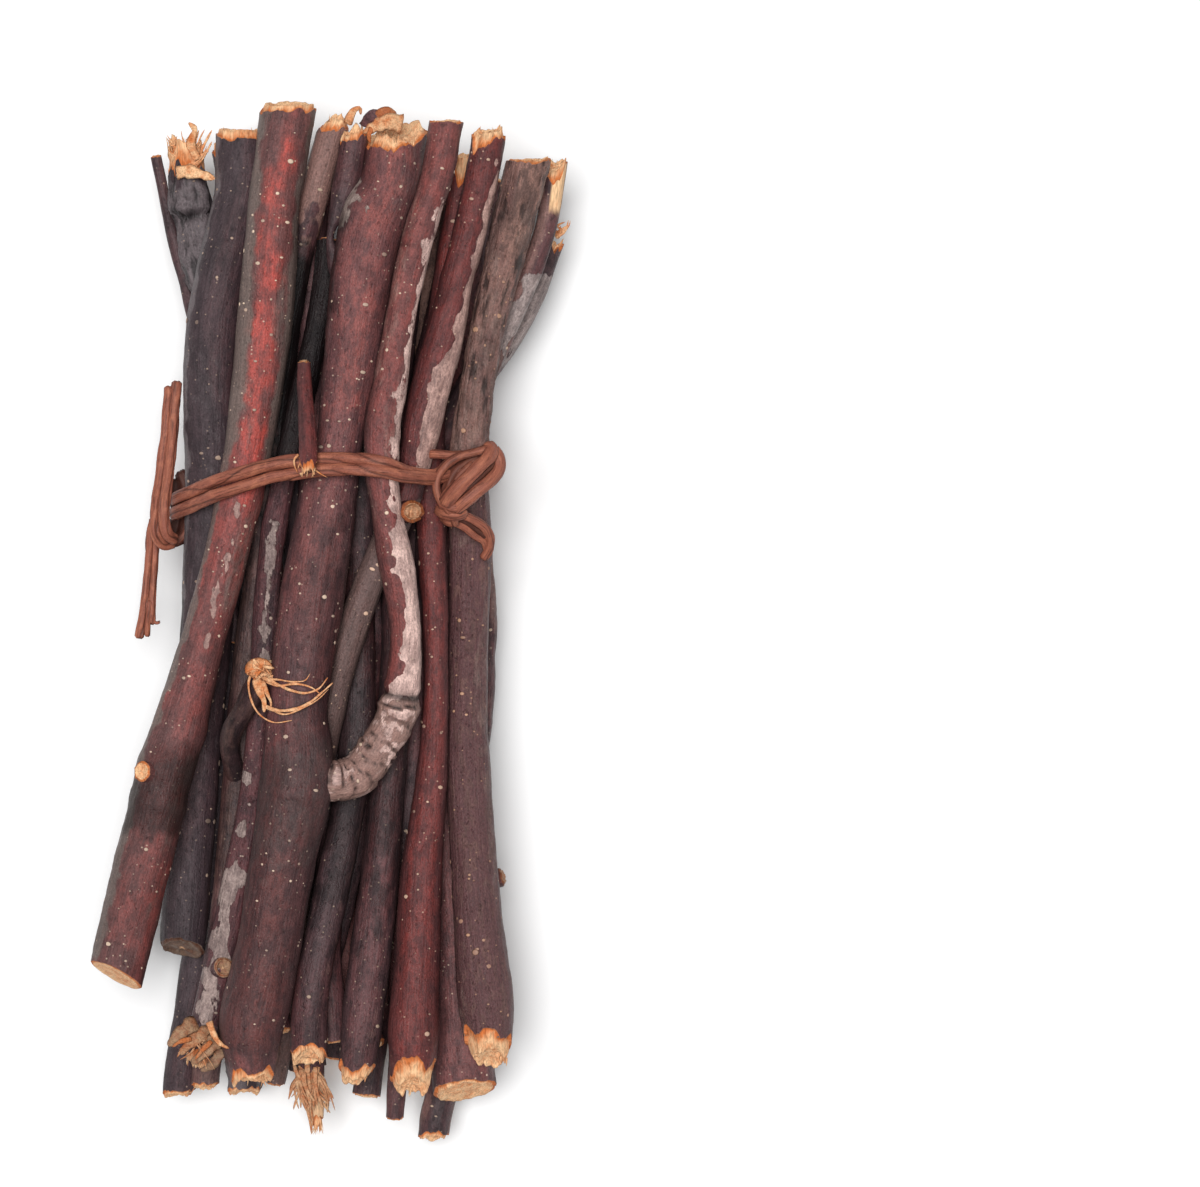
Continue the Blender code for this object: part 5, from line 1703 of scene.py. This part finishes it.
def twigs() -> list[Twig]:
    """Every twig of the bundle, with what the photograph shows on it."""
    seen = [
        Twig(
            "leaning_twig", RED, FINE,
            tip=EndCut((0.0, 1.0, 0.12), 0.35, 0.25, 0.5, 0.9, 0.35, 5, 0.4),
            foot=EndCut((-0.42, -0.87, 0.27), 0.05, 0.06, 0.12, 0.05, 0.1),
            skip=((-22.0, -13.0), (-48.0, -35.5)), knuckles=(
                Knuckle(726, 1.5, 0.3, 0, 1.0), Knuckle(768, 1.8, 0.5, 130, 1.0),
                Knuckle(262, 2.0, 0.15, 0, 1.0), Knuckle(800, 1.2, 0.2)),
            marks=(
                Strip(Kind.FLUSH, ((150, 0.0, 0.5), (220, -0.35, 0.4), (330, -0.4, 0.5), (500, -0.2, 0.6)),
                      0.3, 0.7, 1.1),
                Strip(Kind.FLUSH, ((520, -0.3, 0.8), (700, -0.3, 0.7), (940, -0.4, 0.6)), 0.4, 0.9, 0.32),
                Strip(Kind.GRIME_AND_SHADE, ((760, -1.0, 1.0), (960, -1.0, 1.0)), 0.8, 2.0, 0.16),
                # the film strips along the left and right outlines are grey film with a painted rim highlight
                Strip(Kind.FILM_AND_RIM_LIGHT, ((103, -1.0, -0.72), (200, -1.0, -0.6), (300, -1.0, -0.35),
                                  (420, -1.0, -0.4), (480, -1.0, -0.6)), 0.15, 0.5),
                Strip(Kind.FILM_AND_RIM_LIGHT, ((490, -1.0, -0.8), (700, -1.0, -0.75), (960, -1.0, -0.6)), 0.2, 0.3),
                Strip(Kind.FILM_AND_RIM_LIGHT, ((115, 0.9, 1.0), (300, 0.75, 1.0), (480, 0.8, 1.0)), 0.1, 0.3, 0.9),
                Strip(Kind.PEEL, ((505, 0.1, 0.35), (560, 0.0, 0.25), (645, 0.1, 0.35)), 0.4, 0.5, 0.75),
                Strip(Kind.GRIME_AND_SHADE, ((735, 0.1, 1.0), (785, -1.0, 1.0), (826, -1.0, 1.0)), 0.3, 1.2, 0.75),
            ),
            stubs=(
                Stub(-17.2, ((0.0, 0.0, 0.0, 1.5), (0.4, -2.7, 3.7, 1.25)), EndCut(skirt=0.1, hollow=0.4)),),
            film_and_rim_light=0.5, pores=1.3),
        Twig(
            "dark_left_twig", DARK, FINE, tip=EndCut((0.0, 1.0, 0.12), 0.3, 0.2, 0.5, 0.7, 0.25, 5, 0.5),
            # painted shade: a bare of 0.15 leaves this foot in the dark bark's colour
            foot=EndCut((-0.2, -1.0, 0.4), 0.3, 0.2, 0.4, 0.2, 0.2, bare=0.15),
            # grey film with a painted rim highlight along the left outline
            marks=(Strip(Kind.FILM_AND_RIM_LIGHT, ((132, -1.0, -0.8), (340, -1.0, -0.82), (600, -1.0, -0.85)), 0.1, 0.2),),
            pores=0.8, pore_size=0.4, film_and_rim_light=0.3),
        Twig(
            "hooked_stem", MAROON, FINE,
            tip=EndCut((0.05, 1.0, 0.2), 1.6, 0.5, 1.2, 0.8, 0.5, 8, 0.8, 0.15),
            foot=EndCut((0.1, -1.0, 0.06), 0.9, 0.6, 0.8, 1.1, 0.1, 5, 0.9, 0.06),
            pores=1.2, film_and_rim_light=0.4, crest_lighting=0.4,
            marks=(
                Strip(Kind.FLUSH, ((140, -0.2, 0.7), (250, -0.3, 0.5), (420, -0.4, 0.6)), 0.3, 0.8, 0.8),
                Strip(Kind.FLUSH, ((840, -0.3, 0.4), (1070, -0.3, 0.5)), 0.3, 0.8, 0.6),
                Strip(Kind.PEEL, ((186, -1.0, -0.7), (212, -1.0, -0.5), (236, -1.0, -0.8)), 0.4, 0.5, 0.7),
                Strip(Kind.GRIME_AND_SHADE, ((230, -1.0, -0.75), (330, -1.0, -0.8)), 0.2, 0.3, 0.6),
                Strip(Kind.FILM_AND_RIM_LIGHT, ((735, -1.0, 1.0), (860, -1.0, 1.0)), 0.5, 1.6, 0.5),
                Strip(Kind.GRIME_AND_SHADE, ((540, 0.1, 1.0), (690, -0.2, 1.0), (760, -1.0, 1.0), (1070, -1.0, 1.0)),
                      0.7, 2.0, 0.46),
                Strip(Kind.FLUSH, ((880, -0.2, 0.5), (1060, -0.2, 0.5)), 0.4, 0.9, 0.5),
            ),
            knuckles=(
                Knuckle(785, 3.2, 0.4, 20, 1.0), Knuckle(215, 2.0, 0.35, 170, 1.0),
                Knuckle(788, 0.9, 0.25, 90, 0.6)),
            fibres=(*STEM_CURLS, *STEM_SKIRT)),
        Twig(
            "hooked_stem_arm", DUSKY, COARSE, tip=EndCut((0.0, 1.0, 0.2), 1.2, 0.6, 1.0, 0.5, 0.5, 8, 1.2),
            foot=BURIED, gap=3.0, root=((1.6, -5.4, -1.6, 0.8), (1.0, -3.0, -0.5, 1.3))),
        HookedBranch(
            "hooked_branch", PEELING, FINE, foot=BURIED,
            tip=EndCut((0.0, 1.0, 0.1), 0.2, 0.1, 0.2, 0.1, 0.15),
            marks=(
                Strip(Kind.PEEL, ((190, 0.7, 1.0), (240, 0.5, 1.0), (330, 0.55, 1.0), (390, 0.35, 1.0),
                                  (455, 0.5, 1.0)), 0.4, 0.8, 0.62, depth=0.05),
                Strip(Kind.PEEL, ((478, 0.6, 1.0), (515, 0.4, 1.0), (545, 0.2, 1.0), (600, -0.2, 1.0),
                                  (660, 0.0, 1.0), (692, -0.9, 1.0)), 0.5, 0.5, 0.9, depth=0.07),
                Strip(Kind.GRIME_AND_SHADE, ((690, -1.0, 1.0), (697, -1.0, 1.0)), 0.1, 0.1, 1.0, -1.0, 0.25),
                Strip(Kind.GRIME_AND_SHADE, ((252, -1.0, 0.5), (254, -1.0, 0.5)), 0.05, 0.05, 0.6),
            ),
            knuckles=(Knuckle(705, 0.8, 0.25), Knuckle(684, 0.6, 0.12)), pores=1.2, film_and_rim_light=0.4, crest_lighting=0.5),
        Twig(
            "peeling_twig", SCARLET, FINE,
            tip=EndCut((0.0, 1.0, 0.3), 0.8, 0.35, 0.8, 1.3, 0.3, 6, 0.6, 0.15),
            marks=(
                Strip(Kind.PEEL, ((165, 0.75, 1.0), (220, 0.55, 1.0), (300, 0.5, 1.0), (345, 0.4, 1.0),
                                  (372, 0.0, 1.0), (410, -0.2, 1.0), (470, 0.1, 1.0)), 0.25, 0.4, 0.9,
                      depth=0.06),
                Strip(Kind.FILM_AND_RIM_LIGHT, ((500, -1.0, 1.0), (1090, -1.0, 1.0)), 0.3, 0.4, 1.2),
            ),
            stubs=(Stub(13.6, ((0.0, 0.3, 0.0, 1.3), (0.0, 0.9, 2.3, 1.25)),
                        EndCut(None, 0.4, 0.5, 1.2, 0.2, 0.3, bare=0.5)),),
            pores=1.0, film_and_rim_light=0.2, crest_lighting=0.5),
        Twig(
            "rough_twig", ROUGH, FISSURED, tip=EndCut((0.0, 1.0, 0.1), 0.3, 0.2, 0.4, 0.15, 0.2),
            foot=EndCut((0.1, -1.0, 0.55), 1.0, 0.4, 0.7, 2.4, 0.25, 5, 0.5, 0.1),
            marks=(Strip(Kind.FLUSH, ((470, -1.0, 1.0), (1080, -1.0, 1.0)), 0.2, 0.5, 1.6),),
            pores=1.5, pore_size=0.31, film_and_rim_light=0.4, smooth_from=440.0),
        Twig(
            "red_right_twig", SCARLET, FINE, tip=EndCut((0.0, 1.0, 0.1), 0.3, 0.2, 0.4, 3.6, 0.5),
            foot=EndCut((0.1, -1.0, 0.5), 1.2, 0.5, 0.9, 1.8, 0.3, 6, 0.8, 0.1), pores=1.0, pore_size=0.28,
            film_and_rim_light=0.25, crest_lighting=0.6),
        Twig(
            "grey_twig", GREY, COARSE, foot=EndCut(None, 1.2, 0.6, 1.2, 1.0, 0.4, 8, 1.2, bare=0.7),
            skip=((-45.0, -37.0),), fibres=FRAYED_STRIPS,
            marks=(
                # painted shade where this twig lies deep between the dark left twig and the stem
                Strip(Kind.GRIME_AND_SHADE, ((230, -1.0, 1.0), (470, -1.0, 1.0)), 0.2, 0.5, 0.92),
                Strip(Kind.PEEL, ((520, -0.4, 0.5), (690, -0.3, 0.5)), 0.5, 0.5, 0.62),
                Strip(Kind.PEEL, ((775, -0.55, 0.3), (860, -0.7, 0.2), (960, -0.8, 0.4), (1035, -0.9, 0.9)),
                      0.6, 0.8, 0.8),
            ),
            stubs=(Stub(-40.6, ((0.0, 0.0, 0.0, 1.4), (0.5, 0.9, 2.4, 1.2)), EndCut(hollow=0.8, bare=0.35)),),
            pores=0.3),
        Twig(
            "dusky_twig", DUSKY, COARSE, tip=TORN_TIP, foot=SNAPPED, skip=((-21.0, -3.5),), film_and_rim_light=0.5,
            # the second strip is painted shade where this twig lies deep between the dark left twig and the
            # stem
            marks=(BEHIND_SHADE, Strip(Kind.GRIME_AND_SHADE, ((245, -1.0, 1.0), (500, -1.0, 1.0)), 0.5, 2.2, 0.95),
                   Strip(Kind.FILM_AND_RIM_LIGHT, ((100, -1.0, 1.0), (235, -1.0, 1.0)), 0.5, 2.2, 1.4)),
            stubs=(Stub(-19.0, ((0.0, 0.0, 0.0, 1.2), (6.0, -0.4, 4.6, 1.3), (10.0, 1.8, 8.0, 1.4),
                                (14.4, 4.6, 10.4, 1.7)),
                        EndCut((0.1, 0.7, 0.7), 0.4, 0.3, 0.3, 0.6, 0.3, 6, 0.7), 0.5),),
            fibres=(*SHOOT_FIBRES, *LOOSE_CURL)),
        Twig("middle_twig", DUSKY, COARSE, foot=TORN_FOOT, film_and_rim_light=0.3, crest_lighting=0.5, marks=(BEHIND_SHADE,)),
        Twig("inner_twig", DUSKY, COARSE, foot=TORN_FOOT, film_and_rim_light=0.3, marks=(BEHIND_SHADE,)),
        Twig(
            "split_twig", DUSKY, COARSE, foot=SNAPPED,
            tip=EndCut((0.0, 1.0, 0.5), 0.8, 0.3, 0.6, 1.0, 0.3, 6, 0.6),
            marks=(Strip(Kind.WOOD, ((145, 0.0, 1.0), (208, 0.0, 1.0)), 0.1, 0.1, 1.0, depth=0.2),
                   Strip(Kind.PEEL, ((262, 0.4, 1.0), (292, -0.4, 1.0), (345, -0.3, 1.0)), 0.6, 1.0, 0.8)),
            film_and_rim_light=0.6),
        Twig(
            "splayed_twig", DUSKY, COARSE, tip=EndCut((0.3, 1.0, 0.2), 1.2, 0.6, 1.0, 0.5, 0.6, 6, 1.0),
            fibres=SPLAY_FIBRES,
            marks=(Strip(Kind.PEEL, ((268, -0.9, 1.0), (345, -1.0, 1.0)), 0.6, 1.0, 0.85),)),
        Twig(
            "gnarled_twig", DARK, GNARLED, film_and_rim_light=0.8,
            tip=EndCut((0.0, 1.0, 0.3), 2.4, 0.8, 1.5, 4.4, 0.5, 16, 2.0),
            foot=SNAPPED, fibres=GNARLED_CHIPS, knuckles=(
                Knuckle(200, 1.6, 0.45), Knuckle(192, 0.6, 0.4, 60, 3.0), Knuckle(206, 0.6, 0.5, 125, 3.0),
                Knuckle(198, 0.4, -0.5, 95, 4.0), Knuckle(214, 0.35, -0.7, 90, 0.5),
                Knuckle(232, 0.8, 0.3, 70, 2.0)),
            marks=(Strip(Kind.GRIME_AND_SHADE, ((211, -0.6, 0.9), (217, -0.6, 0.9)), 0.3, 0.1, 0.9, depth=0.3),
                   Strip(Kind.FILM_AND_RIM_LIGHT, ((182, -1.0, 1.0), (330, -1.0, 1.0)), 0.6, 0.6, 0.8))),
        Twig("thin_left_twig", DUSKY, HIDDEN, pores=0.2),
        Twig(
            "lower_left_twig", DARK, COARSE, tip=EndCut((0.0, 1.0, 0.3), 0.8, 0.4, 0.6, 0.7, 0.3, 5, 0.8),
            foot=SNAPPED),
        Twig(
            "broom_twig", DUSKY, COARSE, fibres=BROOM_FIBRES,
            foot=EndCut(None, 1.4, 0.8, 1.0, 1.0, 0.8, 10, 1.6),
            marks=(Strip(Kind.WOOD, ((1076, -1.0, 1.0), (1150, -1.0, 1.0)), 0.4, 0.6, 0.72, -1.5),)),
        Twig("slim_twig", DUSKY, HIDDEN),
        Twig(
            "stout_twig", MAROON, FINE, foot=EndCut((0.15, -0.93, 0.33), 0.3, 0.2, 0.5, 0.3, 0.2),
            skip=((-60.0, -49.0), (-34.0, -26.5)), crest_lighting=0.3,
            stubs=(Stub(-31.6, ((0.0, 0.0, 0.0, 1.5), (1.7, 5.8, 1.2, 1.1)), EndCut(bare=0.4)),)),
        Twig(
            "spur_twig", SCARLET, COARSE, tip=EndCut(skirt=0.2),
            foot=EndCut(None, 0.8, 0.5, 1.0, 1.0, 0.5, 8, 1.2),
            fibres=SPUR_FIBRES, gap=3.0),
    ]
    barks = (MAROON, RED, DARK, MAROON, ROUGH, DARK, RED, DUSKY, MAROON, DUSKY)
    seen += [Twig(f"back_twig_{place + 1}", bark, HIDDEN, pores=0.7) for place, bark in enumerate(barks)]
    return seen


UPPER_RUNS = (
    (160.0, 0.0, 0.0), (240.0, 0.2, 0.0), (300.0, 0.35, 0.0), (360.0, 0.3, 0.0), (392.0, 0.0, -0.2),
    (412.0, -0.5, -0.9), (436.0, -0.5, -0.9), (456.0, 0.9, -0.3), (480.0, 1.7, 0.0), (510.0, 1.9, 0.0),
)
LOWER_RUNS = (
    (160.0, 0.2, 0.0), (240.0, 0.5, 0.0), (300.0, 0.8, 0.1), (350.0, 1.05, 0.2), (385.0, 0.9, 0.3),
    (420.0, 0.9, 0.3), (436.0, 1.0, 0.2), (456.0, 1.9, 0.0), (480.0, 2.8, 0.0), (510.0, 3.1, 0.0),
)
# the dark strands lie under the fold; their darkness is painted shade
LEFT_FOLD = (
    Lay(((170, 386, 18.6), (166, 430, 18.9), (161, 480, 19.6), (157, 518, 20.6), (158, 536, 20.4),
         (165, 545, 19.4), (174, 543, 18.2)), 0.68, 0.2),
    Lay(((178, 381, 18.9), (176, 400, 19.0), (173, 440, 19.3), (169, 485, 20.4), (167, 520, 21.4),
         (170, 535, 21.0), (177, 541, 19.6)), 0.72, 0.2),
    Lay(((178, 470, 15.6), (183, 480, 15.6), (186, 500, 15.4), (186, 520, 15.6), (181, 536, 16.2),
         (172, 541, 17.2)), 0.95, 0.3, 0.9),
    Lay(((172, 478, 15.4), (175, 500, 15.6), (175, 522, 15.8), (171, 536, 16.2)), 0.9, 0.2, 0.95),
    Lay(((166, 540, 17.6), (176, 542, 17.2), (184, 534, 17.0), (188, 522, 16.6)), 0.6, 0.2, 0.55),
)
TAIL_DOWN = (
    Lay(((153, 518, 17.2), (150, 530, 16.9), (148, 560, 16.6), (144, 600, 16.6), (138, 639, 16.4)),
        0.56, 0.2),
    Lay(((157, 522, 16.6), (155, 540, 16.5), (153, 570, 16.4), (151, 600, 16.5), (150, 625, 16.4)), 0.5, 0.2),
    Lay(((149, 600, 16.7), (147, 620, 16.6), (146, 637, 16.4)), 0.4, 0.2),
    Lay(((151, 619, 16.4), (155, 623, 16.4), (159, 622, 16.5)), 0.16, 0.2),
)
# the dark strands lie inside and between the loop's limbs; their darkness is painted shade
RIGHT_LOOP = (
    Lay(((430, 455, 24.2), (446, 456, 24.8), (464, 457, 25.2), (482, 453, 25.6), (491, 449, 25.8)),
        0.66, 0.4, 0.1),
    Lay(((446, 510, 26.4), (440, 496, 26.8), (440, 480, 26.8), (447, 468, 26.6), (458, 460, 26.6),
         (474, 455, 26.6), (490, 451, 26.4)), 0.55, 0.1, 0.2),
    Lay(((449, 506, 26.0), (452, 490, 25.6), (458, 476, 25.4), (470, 466, 25.4), (484, 460, 25.6)),
        1.1, 0.4, 0.6),
    Lay(((450, 500, 26.2), (456, 486, 26.2), (464, 474, 26.0), (476, 464, 26.0)), 0.6, 0.4, 0.3),
    Lay(((447, 506, 27.2), (453, 497, 28.0), (465, 485, 28.4), (478, 472, 28.2), (489, 460, 27.4),
         (492, 452, 26.4), (488, 448, 25.6)), 1.02, 0.25),
    Lay(((456, 512, 26.6), (467, 502, 27.2), (481, 491, 27.2), (494, 479, 26.6), (500, 469, 26.0),
         (499, 459, 25.8), (493, 451, 25.6)), 0.98, 0.25),
    Lay(((452, 510, 26.6), (460, 499, 27.2), (473, 487, 27.4), (486, 475, 27.0), (495, 464, 26.4),
         (495, 456, 26.0)), 0.34, 0.2, 0.8),
    Lay(((491, 452, 26.2), (491, 446, 26.4)), 0.14, 0.2),
)
KNOT = (
    Lay(((441, 499, 25.4), (447, 505, 26.9), (456, 508, 27.2), (466, 506, 26.2)), 0.75, 0.3),
    Lay(((440, 509, 24.8), (448, 514, 26.2), (458, 516, 26.4), (467, 513, 25.4)), 0.8, 0.3),
    Lay(((444, 518, 23.6), (452, 521, 24.8), (461, 521, 25.0)), 0.8, 0.3),
    Lay(((446, 496, 25.6), (449, 508, 27.0), (455, 518, 26.2), (458, 526, 24.6)), 0.55, 0.3, 0.2),
)
# the dark strand lies between the other two; its darkness is painted shade
RIGHT_TAIL = (
    Lay(((460, 514, 25.6), (469, 518, 25.2), (479, 523, 24.4), (488, 531, 23.4), (491, 541, 22.4),
         (489, 551, 21.6), (483, 560, 21.0)), 0.62, 0.45),
    Lay(((455, 521, 24.8), (466, 528, 24.2), (476, 536, 23.2), (485, 542, 22.2), (488, 550, 21.2)),
        0.62, 0.45),
    Lay(((458, 518, 25.0), (468, 523, 24.6), (478, 530, 23.7), (487, 538, 22.7)), 0.4, 0.3, 0.85),
)


def strands() -> list[Band | LaidStrand]:
    """Every band, loop and end of the tie."""
    return [
        Band("tie_band_upper", UPPER_RUNS),
        Band("tie_band_lower", LOWER_RUNS),
        LaidStrand("tie_left_fold", LEFT_FOLD),
        LaidStrand("tie_tail_down", TAIL_DOWN),
        LaidStrand("tie_right_loop", RIGHT_LOOP),
        LaidStrand("tie_knot", KNOT),
        LaidStrand("tie_right_tail", RIGHT_TAIL),
    ]


def place(name: str, work: Patchwork, material: bpy.types.Material, node: str, slot: str) -> None:
    """Makes a piece's object, and lets it stand for its CAD node.

    Args:
        name: The piece's name.
        work: Its surface.
        material: Its finish.
        node: The CAD node that it replaces.
        slot: Not used.
    """
    mesh = work.mesh(name)
    mesh.materials.append(material)
    piece = bpy.data.objects.new(name, mesh)
    bpy.context.scene.collection.objects.link(piece)
    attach(piece, "root")
    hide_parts(node)
    LOG.info("%s: %d points, %d faces", name, len(mesh.vertices), len(mesh.polygons))


def main() -> None:
    """Builds the bundle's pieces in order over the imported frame, and sets out the studio."""
    logging.basicConfig(level=logging.INFO, format="%(message)s")
    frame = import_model()
    nodes = frame["nodes"]
    Studio().set_out()
    groups = SharedEffects.all()
    barks: dict[str, bpy.types.Material] = {}
    for twig in twigs():
        if twig.bark.name not in barks:
            barks[twig.bark.name] = twig.bark.material(groups)
        work = twig.build(Solid.of(nodes[twig.node]))
        place(f"{twig.node}_bark", work, barks[twig.bark.name], twig.node, twig.bark.slot)
    twine = TwineFinish().material()
    for strand in strands():
        place(f"{strand.node}_paper", strand.build(Solid.of(nodes[strand.node])), twine, strand.node, "twine")


if __name__ == "__main__":
    main()
